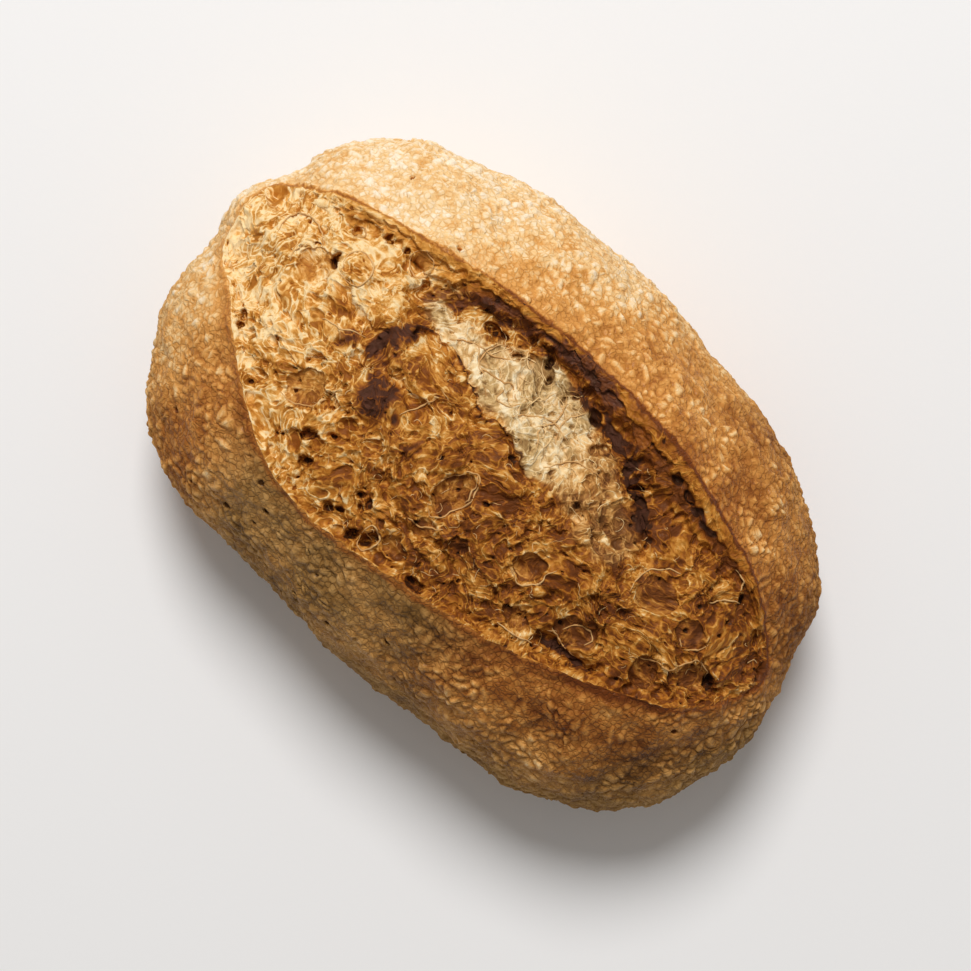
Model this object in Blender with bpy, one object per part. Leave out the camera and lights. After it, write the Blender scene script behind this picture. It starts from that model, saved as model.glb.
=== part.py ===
"""An uncut oval loaf of sourdough bread, baked in one piece and torn open along its top.

The loaf lies along X and stands on its flat base at Z 0. One slash opened in the oven: the crust
folded back from it in a raised ear on the +Y side and a low lip on the -Y side, and the torn
crumb rose between them. Sizes are millimetres, and the mesh is made from them in metres.
"""

import bpy
import numpy as np

MM = 0.001

TOP_Z = 95.0  # the dome's height over the base, without ear and folds
WIDEST_Z = 38.0  # where the loaf is widest
DOME_POWER = 2.3  # above 2: flatter on top and rounder at the shoulder than an ellipse
BELLY_POWER = 2.2  # the same for the side under the widest line
BASE_SHARE = 0.8  # the flat base against the outline
HALF_LENGTH = 129.0
HALF_WIDTH = 84.0
OPENING_SHARE = 0.42  # the opening's width against its length

# The loaf's outline where it is widest, seen from above, anticlockwise from the +X end.
OUTLINE = [
    (129, -5), (126, 10), (120, 26), (115, 40), (104, 54), (83, 69), (55, 78), (18, 83),
    (-17, 84), (-51, 80), (-87, 71), (-104, 59), (-116, 42), (-121, 24), (-127, 11), (-129, 3),
    (-125, -13), (-122, -35), (-113, -53), (-100, -68), (-76, -80), (-44, -83), (-10, -84),
    (28, -81), (60, -77), (88, -69), (106, -58), (119, -42), (123, -33), (128, -18),
]

# The edge where the crust ends and the torn crumb begins, in the same order.
OPENING = [
    (113, 8), (112, 18), (98, 29), (81, 37), (64, 42), (44, 46), (22, 48), (1, 49), (-22, 47),
    (-43, 44), (-62, 39), (-86, 34), (-103, 27), (-118, 18), (-122, 9), (-121, -2), (-117, -12),
    (-105, -19), (-89, -30), (-71, -42), (-50, -51), (-29, -53), (-6, -49), (18, -44), (42, -39),
    (62, -31), (80, -23), (92, -16), (104, -6),
]

# The ear along X: how far its edge stands over the dome, how far the crumb lies below it there,
# and how wide the sloping wall between them is.
EAR_X = [-125, -108, -85, -55, -20, 25, 60, 82, 100, 118]
EAR_RISE = [0.0, 1.5, 2.5, 3.5, 4.5, 5.0, 4.5, 2.5, 0.8, 0.0]
EAR_DROP = [0.0, 1.5, 3.0, 5.0, 7.0, 7.0, 5.5, 3.0, 1.0, 0.0]
EAR_WALL = [4.0, 5.0, 6.0, 8.0, 6.0, 10.0, 12.0, 8.0, 5.0, 4.0]
LIP_RISE = 1.2
LIP_DROP = 1.5
LIP_WALL = 3.0
LIP_FADE = 9.0  # how far the raised edge runs out into the crust
DROP_REACH = 21.0  # how far the crumb stays low beside the ear

# Furrows and tears: points on the way, half width, depth, and how flat the bottom is.
FURROWS = {
    "tear under the ear": (
        [(-53, 28), (-33, 39), (-17, 42), (2, 43), (20, 36), (36, 30), (49, 24), (56, 13)],
        3.8, 6.5, 2,
    ),
    "pale rift": ([(-44, 23), (-28, 28), (-8, 29), (10, 26)], 10.0, 6.0, 4),
    "second tear": ([(46, 40), (59, 37), (67, 32)], 3.6, 5.0, 2),
    "tear at the low lip": ([(50, -27), (60, -26), (70, -24)], 3.2, 6.0, 2),
    "fold on the flap": ([(-68, 4), (-56, 4), (-47, -2), (-36, -1)], 3.4, 2.5, 2),
}

# Hollows of burst bubbles, or swellings where the depth is negative: place, half length, half
# width, turn in degrees, depth.
HOLLOWS = {
    "big burst bubble": (-3, -14, 9.0, 6.5, 80, 5.0),
    "burst bubble beside it": (31, -14, 6.0, 6.0, 0, 3.5),
    "wide hollow": (67, 9, 8.5, 6.5, 10, 3.0),
    "hollow at the end": (84, -12, 6.0, 6.5, 30, 4.0),
    "last hollow": (96, -1, 6.5, 5.5, 40, 4.0),
    "end hollow": (84, 8, 5.5, 5.0, 0, 3.0),
    "hollow over the tear": (57, -19, 8.5, 5.0, 10, 3.5),
    "hollow at the low lip": (40, -29, 6.5, 4.5, 0, 3.5),
    "pale hollow": (-61, -26, 8.5, 6.5, 90, 3.0),
    "first cavity": (-88, 7, 7.5, 6.5, 30, 4.5),
    "round hollow": (43, 18, 9.0, 8.0, 0, 3.5),
    "pair of holes": (-13, -43, 5.5, 4.5, 20, 3.5),
    "hole beside them": (1, -39, 6.0, 4.0, 0, 3.0),
    "hole at the ear": (-62, 30, 5.5, 4.5, 0, 3.0),
    "round bubble": (-102, 9, 7.0, 7.0, 0, -2.0),
    "golden bubble": (-76, 16, 9.0, 7.5, 0, -3.5),
    "burnt crest": (-54, 12, 9.0, 4.5, 150, -3.0),
    "burnt knob": (-42, -10, 7.0, 6.5, 0, -2.5),
    "flap": (-22, -6, 36.0, 24.0, -10, -2.5),
    "far flap": (62, -4, 30.0, 18.0, 10, -1.5),
}

# Slow swells of the whole surface: number, shortest and longest wave, and height of the longest.
SWELL_COUNT = 12
SWELL_SHORTEST = 30.0
SWELL_LONGEST = 90.0
SWELL_HEIGHT = 0.6
SWELL_FADE_Z = 14.0  # they die away towards the flat base
SWELL_SEED = 5

# The mesh: cells across the crumb both ways, and rings down the crust.
CRUMB_CELLS = (58, 36)
CROWN_RINGS = 10
SIDE_RINGS = 8
RIM_CROWDING = 1.3  # above 1: the crumb's rings crowd towards its edge


def smooth_loop(points, steps=16):
    """A closed Catmull-Rom curve through the points, in short steps."""
    here = np.array(points, float)[:, None]
    before, after, beyond = (np.roll(here, shift, axis=0) for shift in (1, -1, -2))
    u = (np.arange(steps) / steps)[None, :, None]
    slope = after - before
    bend = 2 * before - 5 * here + 4 * after - beyond
    twist = 3 * (here - after) + beyond - before
    return (here + u / 2 * (slope + u * (bend + u * twist))).reshape(-1, 2)


def reach_of(points):
    """A function from a heading to the loop's distance from the centre that way."""
    loop = smooth_loop(points)
    headings = np.arctan2(loop[:, 1], loop[:, 0])
    distances = np.hypot(loop[:, 0], loop[:, 1])
    return lambda heading: np.interp(heading, headings, distances, period=2 * np.pi)


outline_reach = reach_of(OUTLINE)
opening_reach = reach_of(OPENING)


def smooth_step(low, high, value):
    share = np.clip((value - low) / (high - low), 0, 1)
    return share * share * (3 - 2 * share)


def ellipse_heading(turn, width_share):
    """The heading of the point at this turn on an ellipse, without a jump at half a turn."""
    heading = np.arctan2(width_share * np.sin(turn), np.cos(turn))
    return turn + (heading - turn + np.pi) % (2 * np.pi) - np.pi


def dome_z(x, y):
    share = np.clip(np.hypot(x, y) / outline_reach(np.arctan2(y, x)), 0, 1)
    return WIDEST_Z + (TOP_Z - WIDEST_Z) * np.sqrt(1 - share**DOME_POWER)


def by_side(x, y, ear_values, lip_value):
    """An ear's value on the +Y side and the lip's on the -Y side, with a short blend at the ends."""
    side = smooth_step(-6, 6, y)
    return side * np.interp(x, EAR_X, ear_values) + (1 - side) * lip_value


def distance_to(x, y, points):
    """How far each place is from the line through the points."""
    nearest = np.full(np.shape(x), np.inf)
    for start, end in zip(points[:-1], points[1:]):
        along = np.subtract(end, start).astype(float)
        share = ((x - start[0]) * along[0] + (y - start[1]) * along[1]) / (along @ along)
        share = np.clip(share, 0, 1)
        gap = np.hypot(x - start[0] - share * along[0], y - start[1] - share * along[1])
        nearest = np.minimum(nearest, gap)
    return nearest


def crumb_relief(x, y):
    """How far the crumb stands over the dome, from its furrows, hollows and swellings."""
    relief = np.zeros_like(x)
    for points, half_width, depth, flatness in FURROWS.values():
        relief -= depth * np.exp(-((distance_to(x, y, points) / half_width) ** flatness))
    for place_x, place_y, half_length, half_width, turn, depth in HOLLOWS.values():
        turn = np.radians(turn)
        along = (x - place_x) * np.cos(turn) + (y - place_y) * np.sin(turn)
        across = (y - place_y) * np.cos(turn) - (x - place_x) * np.sin(turn)
        share = np.hypot(along / half_length, across / half_width)
        relief -= depth * np.exp(-(share**3))
    return relief


def crumb_z(x, y):
    """The torn crumb: low beside the ear, up a sloping wall to the crust's edge all round."""
    heading = np.arctan2(y, x)
    edge_reach = opening_reach(heading)
    edge_x, edge_y = edge_reach * np.cos(heading), edge_reach * np.sin(heading)
    edge_gap = distance_to(x, y, [*smooth_loop(OPENING, 4), OPENING[0]])
    rise = by_side(edge_x, edge_y, EAR_RISE, LIP_RISE)
    drop = by_side(edge_x, edge_y, EAR_DROP, LIP_DROP)
    wall = by_side(edge_x, edge_y, EAR_WALL, LIP_WALL)
    inner = crumb_relief(x, y) - drop * np.exp(-((edge_gap / DROP_REACH) ** 2))
    share = smooth_step(0, 1, edge_gap / wall)
    return dome_z(x, y) + rise * (1 - share) + inner * share


def swells():
    """Direction, phase and height of each slow wave over the loaf's surface."""
    rng = np.random.default_rng(SWELL_SEED)
    lengths = np.geomspace(SWELL_SHORTEST, SWELL_LONGEST, SWELL_COUNT)
    directions = rng.normal(size=(SWELL_COUNT, 3))
    directions /= np.linalg.norm(directions, axis=1, keepdims=True)
    phases = rng.uniform(0, 2 * np.pi, SWELL_COUNT)
    heights = SWELL_HEIGHT * lengths / SWELL_LONGEST
    return 2 * np.pi * directions / lengths[:, None], phases, heights


def swollen(points):
    """The points moved out or in by the slow swells, and not at all on the base."""
    waves, phases, heights = swells()
    size = (np.sin(points @ waves.T + phases) * heights).sum(axis=1)
    size *= smooth_step(0, SWELL_FADE_Z, points[:, 2])
    radii = np.array([HALF_LENGTH, HALF_WIDTH, TOP_Z - WIDEST_Z])
    centre = np.array([0, 0, WIDEST_Z])
    outward = (points - centre) / radii**2
    outward[:, 2] = np.maximum(outward[:, 2], 0)
    length = np.linalg.norm(outward, axis=1, keepdims=True)
    return points + outward / np.maximum(length, 1e-6) * size[:, None]


def square_to_disc(across_x, across_y):
    """Turn and share of the radius for each place in a square, ring by square ring."""
    share = np.maximum(np.abs(across_x), np.abs(across_y))
    safe = np.where(share > 0, share, 1)
    on_side = np.abs(across_x) > np.abs(across_y)
    offset = np.where(on_side, across_y, across_x) / safe * np.pi / 4
    turn = np.where(
        on_side,
        np.where(across_x > 0, offset, np.pi - offset),
        np.where(across_y > 0, np.pi / 2 - offset, offset - np.pi / 2),
    )
    return turn, share


def crumb_grid():
    """The crumb's points in rows, each with its turn round the opening."""
    rows = [np.linspace(-1, 1, cells + 1) for cells in CRUMB_CELLS]
    across_x, across_y = (side.ravel() for side in np.meshgrid(*rows, indexing="ij"))
    turn, share = square_to_disc(across_x, across_y)
    heading = ellipse_heading(turn, OPENING_SHARE)
    reach = (1 - (1 - share) ** RIM_CROWDING) * opening_reach(heading)
    x, y = reach * np.cos(heading), reach * np.sin(heading)
    return np.stack([x, y, crumb_z(x, y)], axis=1), turn


def edge_order():
    """The crumb's edge points, anticlockwise, as places in its rows."""
    columns, rows = CRUMB_CELLS
    index = np.arange((columns + 1) * (rows + 1)).reshape(columns + 1, rows + 1)
    return np.concatenate(
        [index[-1, :-1], index[::-1, -1][:-1], index[0, ::-1][:-1], index[:, 0][:-1]]
    )


def crown_ring(turn, down):
    """A ring of the upper crust, from the opening's edge at 0 down to the widest line at 1."""
    edge_heading = ellipse_heading(turn, OPENING_SHARE)
    edge_reach = opening_reach(edge_heading)
    edge_share = edge_reach / outline_reach(edge_heading)
    edge_tilt = np.arccos(edge_share ** (DOME_POWER / 2))
    rim_heading = ellipse_heading(turn, HALF_WIDTH / HALF_LENGTH)
    heading = edge_heading * (1 - down) + rim_heading * down
    tilt = edge_tilt * (1 - down)
    reach = np.cos(tilt) ** (2 / DOME_POWER) * outline_reach(heading)
    x, y = reach * np.cos(heading), reach * np.sin(heading)
    edge_x, edge_y = edge_reach * np.cos(edge_heading), edge_reach * np.sin(edge_heading)
    rise = by_side(edge_x, edge_y, EAR_RISE, LIP_RISE)
    z = WIDEST_Z + (TOP_Z - WIDEST_Z) * np.sin(tilt)
    z += rise * np.exp(-np.hypot(x - edge_x, y - edge_y) / LIP_FADE) * (1 - down)
    return np.stack([x, y, z], axis=1)


def side_ring(turn, down):
    """A ring of the lower side, from the widest line at 0 round under to the base's edge at 1."""
    heading = ellipse_heading(turn, HALF_WIDTH / HALF_LENGTH)
    tilt = down * np.pi / 2
    share = BASE_SHARE + (1 - BASE_SHARE) * np.cos(tilt) ** (2 / BELLY_POWER)
    reach = share * outline_reach(heading)
    z = np.full_like(turn, WIDEST_Z * (1 - np.sin(tilt) ** (2 / BELLY_POWER)))
    return np.stack([reach * np.cos(heading), reach * np.sin(heading), z], axis=1)


def loaf_mesh():
    """The whole loaf's points and faces: crumb, rings of crust round it, and the base."""
    crumb, turns = crumb_grid()
    edge = edge_order()
    turn = turns[edge]
    turn = np.where(turn < turn[0] - 1e-9, turn + 2 * np.pi, turn)
    crown = [crown_ring(turn, ring / CROWN_RINGS) for ring in range(1, CROWN_RINGS + 1)]
    side = [side_ring(turn, ring / SIDE_RINGS) for ring in range(1, SIDE_RINGS + 1)]
    points = swollen(np.concatenate([crumb, *crown, *side]))
    middle = (points.min(axis=0) + points.max(axis=0)) / 2
    points[:, :2] -= middle[:2]

    columns, rows = CRUMB_CELLS
    faces = []
    for i in range(columns):
        for j in range(rows):
            corner = i * (rows + 1) + j
            faces.append((corner, corner + rows + 1, corner + rows + 2, corner + 1))
    rings = [list(edge)]
    for ring in range(CROWN_RINGS + SIDE_RINGS):
        first = len(crumb) + ring * len(edge)
        rings.append(list(range(first, first + len(edge))))
    for upper, lower in zip(rings[:-1], rings[1:]):
        for k in range(len(edge)):
            after = (k + 1) % len(edge)
            faces.append((upper[k], lower[k], lower[after], upper[after]))
    faces.append(tuple(reversed(rings[-1])))
    return points * MM, [tuple(int(v) for v in face) for face in faces]


def crust_material():
    material = bpy.data.materials.new("loaf")
    material.use_nodes = True
    shader = material.node_tree.nodes["Principled BSDF"]
    shader.inputs["Base Color"].default_value = (0.47, 0.22, 0.075, 1)
    shader.inputs["Roughness"].default_value = 0.55
    shader.inputs["Metallic"].default_value = 0.0
    material.diffuse_color = (0.47, 0.22, 0.075, 1)
    return material


def clear_scene():
    for old in list(bpy.data.objects):
        bpy.data.objects.remove(old, do_unlink=True)


def make_loaf():
    points, faces = loaf_mesh()
    mesh = bpy.data.meshes.new("loaf")
    mesh.from_pydata(points, [], faces)
    mesh.validate()
    mesh.shade_smooth()
    mesh.materials.append(crust_material())
    loaf = bpy.data.objects.new("loaf", mesh)
    bpy.context.scene.collection.objects.link(loaf)


clear_scene()
make_loaf()
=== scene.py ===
"""The looks of an uncut oval loaf of sourdough bread, split along its top by one slash.

Five pieces stand for the loaf's one solid: three bands of crust from the slash's edge round under the
base, the torn crumb in the split, and the loose strands on it. The bands and the crumb share their
edges point by point. Shapes are worked out in millimetres, from the sizes that the solid was made
with, and then set into the solid's box in metres.
"""

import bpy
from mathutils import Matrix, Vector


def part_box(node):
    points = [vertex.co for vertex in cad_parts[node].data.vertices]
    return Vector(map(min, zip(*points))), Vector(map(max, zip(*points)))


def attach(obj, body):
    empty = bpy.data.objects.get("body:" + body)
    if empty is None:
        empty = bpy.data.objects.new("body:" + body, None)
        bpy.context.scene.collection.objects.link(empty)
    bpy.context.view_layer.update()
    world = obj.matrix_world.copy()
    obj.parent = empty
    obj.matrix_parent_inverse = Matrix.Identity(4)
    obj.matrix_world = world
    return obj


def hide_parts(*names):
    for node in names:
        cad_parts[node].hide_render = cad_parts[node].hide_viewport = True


bl_info = {
    "name": "Sourdough Loaf",
    "version": (1, 0, 0),
    "blender": (4, 5, 0),
    "location": "3D View > Sidebar > Loaf",
    "description": "Makes the crust, the torn crumb and the strands of an oval sourdough loaf",
    "category": "Add Mesh",
}

import functools
import itertools
import math
from types import SimpleNamespace

import bpy
import numpy as np

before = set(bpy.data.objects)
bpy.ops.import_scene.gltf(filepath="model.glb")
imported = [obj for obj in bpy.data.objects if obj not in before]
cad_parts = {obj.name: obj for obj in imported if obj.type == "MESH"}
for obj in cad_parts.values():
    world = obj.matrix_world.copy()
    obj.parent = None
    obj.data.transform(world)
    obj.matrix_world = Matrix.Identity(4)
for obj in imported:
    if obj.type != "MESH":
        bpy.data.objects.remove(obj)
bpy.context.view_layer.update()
LOAF_LOW, LOAF_HIGH = (np.array(corner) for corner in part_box("loaf"))

BODY = "root"
NODE = "loaf"
MM = 0.001

TOP_Z = 95.0  # the dome's height over the base, without ear and folds
WIDEST_Z = 38.0  # where the loaf is widest
DOME_POWER = 2.3  # how full the loaf is above its widest line, where 2 is an ellipse
BELLY_POWER = 2.2  # and below it
BASE_SHARE = 0.8  # the flat base against the outline
HALF_LENGTH = 129.0
HALF_WIDTH = 84.0
OPENING_SHARE = 0.42  # the opening's width against its length

# The loaf's outline where it is widest, seen from above, anticlockwise from the +X end.
OUTLINE = [
    (129, -5), (126, 10), (120, 26), (115, 40), (104, 54), (83, 69), (55, 78), (18, 83),
    (-17, 84), (-51, 80), (-87, 71), (-104, 59), (-116, 42), (-121, 24), (-127, 11), (-129, 3),
    (-125, -13), (-122, -35), (-113, -53), (-100, -68), (-76, -80), (-44, -83), (-10, -84),
    (28, -81), (60, -77), (88, -69), (106, -58), (119, -42), (123, -33), (128, -18),
]

# The edge where the crust ends and the torn crumb begins, in the same order.
OPENING = [
    (113, 8), (112, 18), (98, 29), (81, 37), (64, 42), (44, 46), (22, 48), (1, 49), (-22, 47),
    (-43, 44), (-62, 39), (-86, 34), (-103, 27), (-118, 18), (-122, 9), (-121, -2), (-117, -12),
    (-105, -19), (-89, -30), (-71, -42), (-50, -51), (-29, -53), (-6, -49), (18, -44), (42, -39),
    (62, -31), (80, -23), (92, -16), (104, -6),
]

# The ear along X: its edge over the dome, the crumb's drop beside it, and the wall's width.
EAR_X = [-125, -108, -85, -55, -20, 25, 60, 82, 100, 118]
EAR_RISE = [0.0, 1.5, 2.5, 3.5, 4.5, 5.0, 4.5, 2.5, 0.8, 0.0]
EAR_DROP = [0.0, 1.5, 3.0, 5.0, 7.0, 7.0, 5.5, 3.0, 1.0, 0.0]
EAR_WALL = [4.0, 5.0, 6.0, 8.0, 6.0, 10.0, 12.0, 8.0, 5.0, 4.0]

# The same for the low lip on the other side, and how far rise and drop reach from the edge.
LIP_RISE = 1.2
LIP_DROP = 1.5
LIP_WALL = 3.0
RISE_REACH = 9.0
DROP_REACH = 21.0

# Lines in the crumb: the tears, the rift and its outline, the ridge on its lower side, the dark
# stretch of the long tear, and the dark flap under the ear.
TEAR = [(-53, 28), (-33, 39), (-17, 42), (2, 43), (20, 36), (36, 30), (49, 24), (56, 13)]
RIFT = [(-44, 23), (-28, 28), (-8, 29), (10, 26)]
SECOND_TEAR = [(46, 40), (59, 37), (67, 32)]
LOW_TEAR = [(50, -27), (60, -26), (70, -24)]
PALE_RIFT = [
    (-52, 25), (-43, 29), (-33, 29), (-24, 32), (-9, 39), (4, 36), (16, 33), (27, 27), (38, 23),
    (49, 16), (52, 9), (44, 4), (32, 5), (22, 9), (10, 6), (-3, 14), (-13, 14), (-29, 18), (-43, 18),
]
SCARP = [(-49, 16), (-44, 17), (-32, 16), (-22, 14), (-13, 11), (-8, 11), (-3, 14), (1, 11), (7, 8)]
DARK_TEAR = [(14, 34), (22, 34), (36, 30), (49, 24), (54, 15)]
FLAP = [(-54, 27), (-45, 34), (-36, 38), (-26, 41), (-16, 43.5), (-4, 45.5), (8, 45), (14, 42)]

# Furrows and tears: points on the way, half width, depth, and how flat the bottom is.
FURROWS = [
    (TEAR, 3.0, 1.5, 2),
    (DARK_TEAR, 2.0, 3.6, 2),
    (RIFT, 10.0, 6.0, 4),
    (SECOND_TEAR, 3.2, 3.5, 2),
    (LOW_TEAR, 2.6, 6.0, 2),
    ([(-68, 4), (-56, 4), (-47, -2), (-36, -1)], 3.0, 3.0, 2),
    ([(28, 7), (36, 13), (45, 12), (55, 14)], 2.0, 2.5, 2),
    ([(-40, 17), (-26, 15), (-14, 10), (-6, 12), (2, 10), (9, 6)], 1.4, 2.2, 2),
    ([(-95, -8), (-84, -12), (-72, -10)], 1.8, 1.6, 2),
    ([(-20, -28), (-8, -32), (8, -30), (20, -33)], 1.8, 1.8, 2),
]

# Hollows of burst bubbles, or swellings where the depth is negative: place, half length, half
# width, turn in degrees, depth, and how steep its side is.
HOLLOWS = [
    (-3, -14, 9.0, 6.5, 80, 5.0, 4),
    (31, -14, 6.0, 6.0, 0, 3.8, 4),
    (67, 9, 8.5, 6.5, 10, 3.2, 4),
    (82, -12, 5.5, 6.5, 30, 4.2, 4),
    (95, -1, 6.5, 5.0, 40, 4.2, 4),
    (84, 8, 5.5, 5.0, 0, 3.0, 3),
    (57, -19, 8.5, 5.0, 10, 3.5, 4),
    (40, -29, 6.5, 4.5, 0, 3.5, 4),
    (-61, -24, 8.0, 6.5, 90, 3.0, 4),
    (-88, 7, 7.5, 6.5, 30, 4.5, 4),
    (43, 18, 9.0, 8.0, 0, 3.5, 3),
    (-4, -40, 6.0, 3.6, 0, 3.2, 4),
    (-64, 32, 3.4, 3.9, 0, 4.0, 4),
    (-25, 26, 5.5, 4.5, 60, 2.8, 4),
    (-11, 34, 8.0, 4.0, -10, 3.0, 3),
    (-2, -28, 5.0, 3.5, 50, 2.2, 4),
    (-102, 9, 7.0, 7.0, 0, -2.0, 3),
    (-76, 16, 6.0, 4.6, 20, -3.2, 4),
    (-54, 12, 9.0, 4.0, 150, -3.0, 3),
    (-42, -10, 7.0, 6.5, 0, -2.5, 3),
    (-22, -6, 36.0, 24.0, -10, -2.5, 3),
    (62, -4, 30.0, 18.0, 10, -1.5, 3),
]

# Small deep holes: place, half length, half width, turn in degrees, depth.
HOLES = [
    (-84, 12, 1.4, 2.4, 20, 5.0), (-86, 24, 1.4, 2.4, 30, 3.5), (-78, 30, 1.2, 1.5, 0, 3.0),
    (-76, 29, 1.2, 1.2, 0, 3.0), (-58, 28, 1.5, 1.5, 0, 3.0), (-70, 31, 1.1, 1.0, 0, 2.5),
    (-94, -22, 2.2, 1.0, 130, 3.5), (-92, -25, 1.4, 0.9, 130, 3.0), (-79, -19, 0.8, 0.8, 0, 2.5),
    (-50, -34, 2.9, 1.7, 50, 4.5), (-45, -41, 2.4, 1.7, 30, 3.5), (-44, -29, 1.2, 0.8, 20, 2.5),
    (-29, -46, 1.7, 1.4, 0, 3.5), (-26, -44, 1.5, 1.3, 0, 3.0), (-24, -36, 1.6, 1.2, 40, 2.8),
    (-20, -36, 1.2, 1.8, 20, 3.0), (-21, -39, 1.3, 1.1, 0, 2.6), (-17, -47, 1.6, 2.6, -30, 4.0),
    (-12, -44, 2.0, 3.6, -20, 5.0), (9, -44, 3.2, 2.0, 10, 3.5), (-32, 33, 3.2, 1.9, 0, 4.0),
    (-28, 34, 1.8, 1.4, 0, 3.5), (-20, 32, 2.0, 1.3, 30, 3.0), (12, 36, 2.8, 2.2, -30, 3.5),
    (21, 29, 1.7, 3.4, -40, 3.5), (100, 1, 1.7, 2.6, 20, 4.5), (28, 11, 1.2, 1.2, 0, 2.8),
    (7, -9, 1.2, 1.0, 0, 2.4), (2, 7, 1.4, 1.0, 30, 2.4), (45, 40, 2.2, 1.5, -20, 2.6),
    (52, 39, 3.0, 1.4, -20, 2.6), (40, 29, 3.4, 1.6, -40, 2.5), (-11, 38, 1.2, 2.4, 20, 4.0),
    (-7, 34, 1.0, 1.6, 20, 3.0), (35, -27, 1.2, 0.9, 0, 2.4), (88, 27, 1.1, 2.0, 40, 3.0),
]

# Places burnt dark: place, half length, half width, turn in degrees, strength.
BURNS = [
    (-52, 9, 9.0, 3.6, 63, 1.0), (-54, 2, 4.5, 3.0, 60, 0.8), (-63, -2, 7.0, 3.4, 60, 0.5),
    (-43, -10, 7.5, 6.0, 30, 1.0), (-34, -11, 4.0, 2.5, 20, 0.5), (-49, 0, 13.0, 10.0, 40, 0.36),
    (-38, 35, 12.0, 2.4, 17, 0.4), (-12, 38, 10.0, 2.4, -5, 0.4), (6, 38, 9.0, 2.4, -15, 0.4),
    (-20, 32, 7.0, 3.5, 10, 0.33), (-62, -32, 8.0, 5.0, 45, 0.28), (-88, -7, 9.0, 8.0, 0, 0.26),
    (34, 31, 9.0, 2.2, -35, 0.8),
    (22, 36, 8.0, 2.0, -35, 0.7), (45, 25, 6.0, 2.0, -60, 0.8), (60, 38, 8.0, 1.6, -20, 0.55),
    (60, -26, 10.0, 2.0, 5, 0.8), (-27, -15, 14.0, 10.0, 30, 0.26), (-31, 13, 10.0, 6.0, -20, 0.27),
    (19, -27, 14.0, 8.0, 0, 0.27), (-34, -40, 9.0, 6.0, 20, 0.27), (60, -2, 14.0, 9.0, 0, 0.23),
    (88, 8, 8.0, 7.0, 0, 0.27), (-75, 1, 9.0, 7.0, 0, 0.26),
]

# Browner places on the crust: place, half length, half width, turn in degrees, strength.
BROWNED = [
    (17, 63, 13.0, 8.0, 0, 0.7), (78, -42, 26.0, 7.0, 22, 0.9), (80, -58, 20.0, 8.0, 20, 0.35),
    (30, -51, 26.0, 5.0, 10, 0.45), (-60, -52, 20.0, 5.0, -15, 0.3), (46, 55, 16.0, 4.0, -10, 0.5),
    (52, 68, 14.0, 8.0, -15, 0.5),
]

# Thin pale rims and threads that stand out in the crumb, as points on their way.
RIMS = [
    [
        (-7, -22), (-9, -16), (-7, -9), (-2, -4), (1, -7), (3, -12), (2, -17), (0, -20), (-3, -24),
        (-7, -22),
    ],
    [(-8, -30), (-2, -28), (3, -24)],
    [(-2, -4), (1, -9), (2, -15)],
    [(26, -18), (32, -20), (36, -17), (37, -11), (38, -8)],
    [(60, 3), (59, 9), (60, 14), (64, 18), (68, 20)],
    [(82, 5), (86, 3), (90, 6), (91, 10)],
    [(81, 19), (84, 23), (90, 27)],
    [(79, 33), (83, 32), (85, 28)],
    [(36, -34), (43, -33), (52, -30)],
    [(75, -13), (78, -9), (83, -6), (87, -6), (89, -1), (92, 3), (97, 3), (99, 1)],
    [(50, -22), (56, -24), (63, -24)],
    [(54, -21), (56, -17), (60, -15), (63, -17), (62, -20)],
    [(-106, 6), (-108, 11), (-106, 15), (-102, 17), (-98, 17), (-94, 15), (-91, 12)],
    [(-95, 1), (-97, 6), (-95, 10)],
    [(-67, -31), (-60, -30), (-55, -25), (-53, -16)],
    [(-80, 10), (-82, 15), (-80, 20), (-75, 20), (-72, 15), (-74, 10), (-80, 10)],
    [(-74, -5), (-66, -2), (-59, 2)],
    [(-33, -9), (-31, -2), (-28, 4)],
    [(-15, -45), (-15, -41), (-12, -40), (-9, -43), (-10, -47), (-13, -48), (-15, -45)],
    [(-22, 19), (-28, 23), (-28, 28), (-25, 33)],
    [(9, 35), (6, 28), (9, 20)],
    [(-40, 20), (-34, 25), (-26, 27), (-18, 31)],
    [(-8, 16), (-3, 22), (3, 25), (12, 24)],
    [(0, 35), (4, 28), (2, 20), (7, 14)],
    [(-34, 30), (-30, 24), (-22, 21), (-15, 24), (-9, 21)],
    [(-16, 22), (-14, 18), (-10, 19), (-7, 24)],
    [(-66, 36), (-61, 34), (-60, 30), (-63, 27), (-67, 29), (-67, 34)],
    [(-88, 26), (-85, 27), (-83, 24), (-85, 21)],
    [(12, 12), (15, 18), (20, 22), (27, 23)],
]

# Slow swells of the whole surface.
SWELL_COUNT = 12
SWELL_SHORTEST = 30.0
SWELL_LONGEST = 90.0
SWELL_HEIGHT = 0.6
SWELL_FADE_Z = 14.0
SWELL_SEED = 5

# Wavers of the finished surface in all directions: wave, size and seed.
COARSE_WAVER = (9.0, 0.5, 61)
FINE_WAVER = (2.6, 0.3, 71)
WAVER_FADE_Z = 10.0

# Details of the crust, in millimetres or as shares.
BLISTER_SHOULDER = 0.32  # how far a blister's slope reaches from its edge, against the spacing
BLISTER_MEAN = 0.6  # the share of a blister's height that lies at the solid's surface
PORE_SPACING = 9.0
PORE_SHARE = 0.45  # how many of the places have a pore
PORE_DEPTH = 1.2
BASE_FADE_Z = 7.0  # below this the relief fades out towards the flat base

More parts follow.
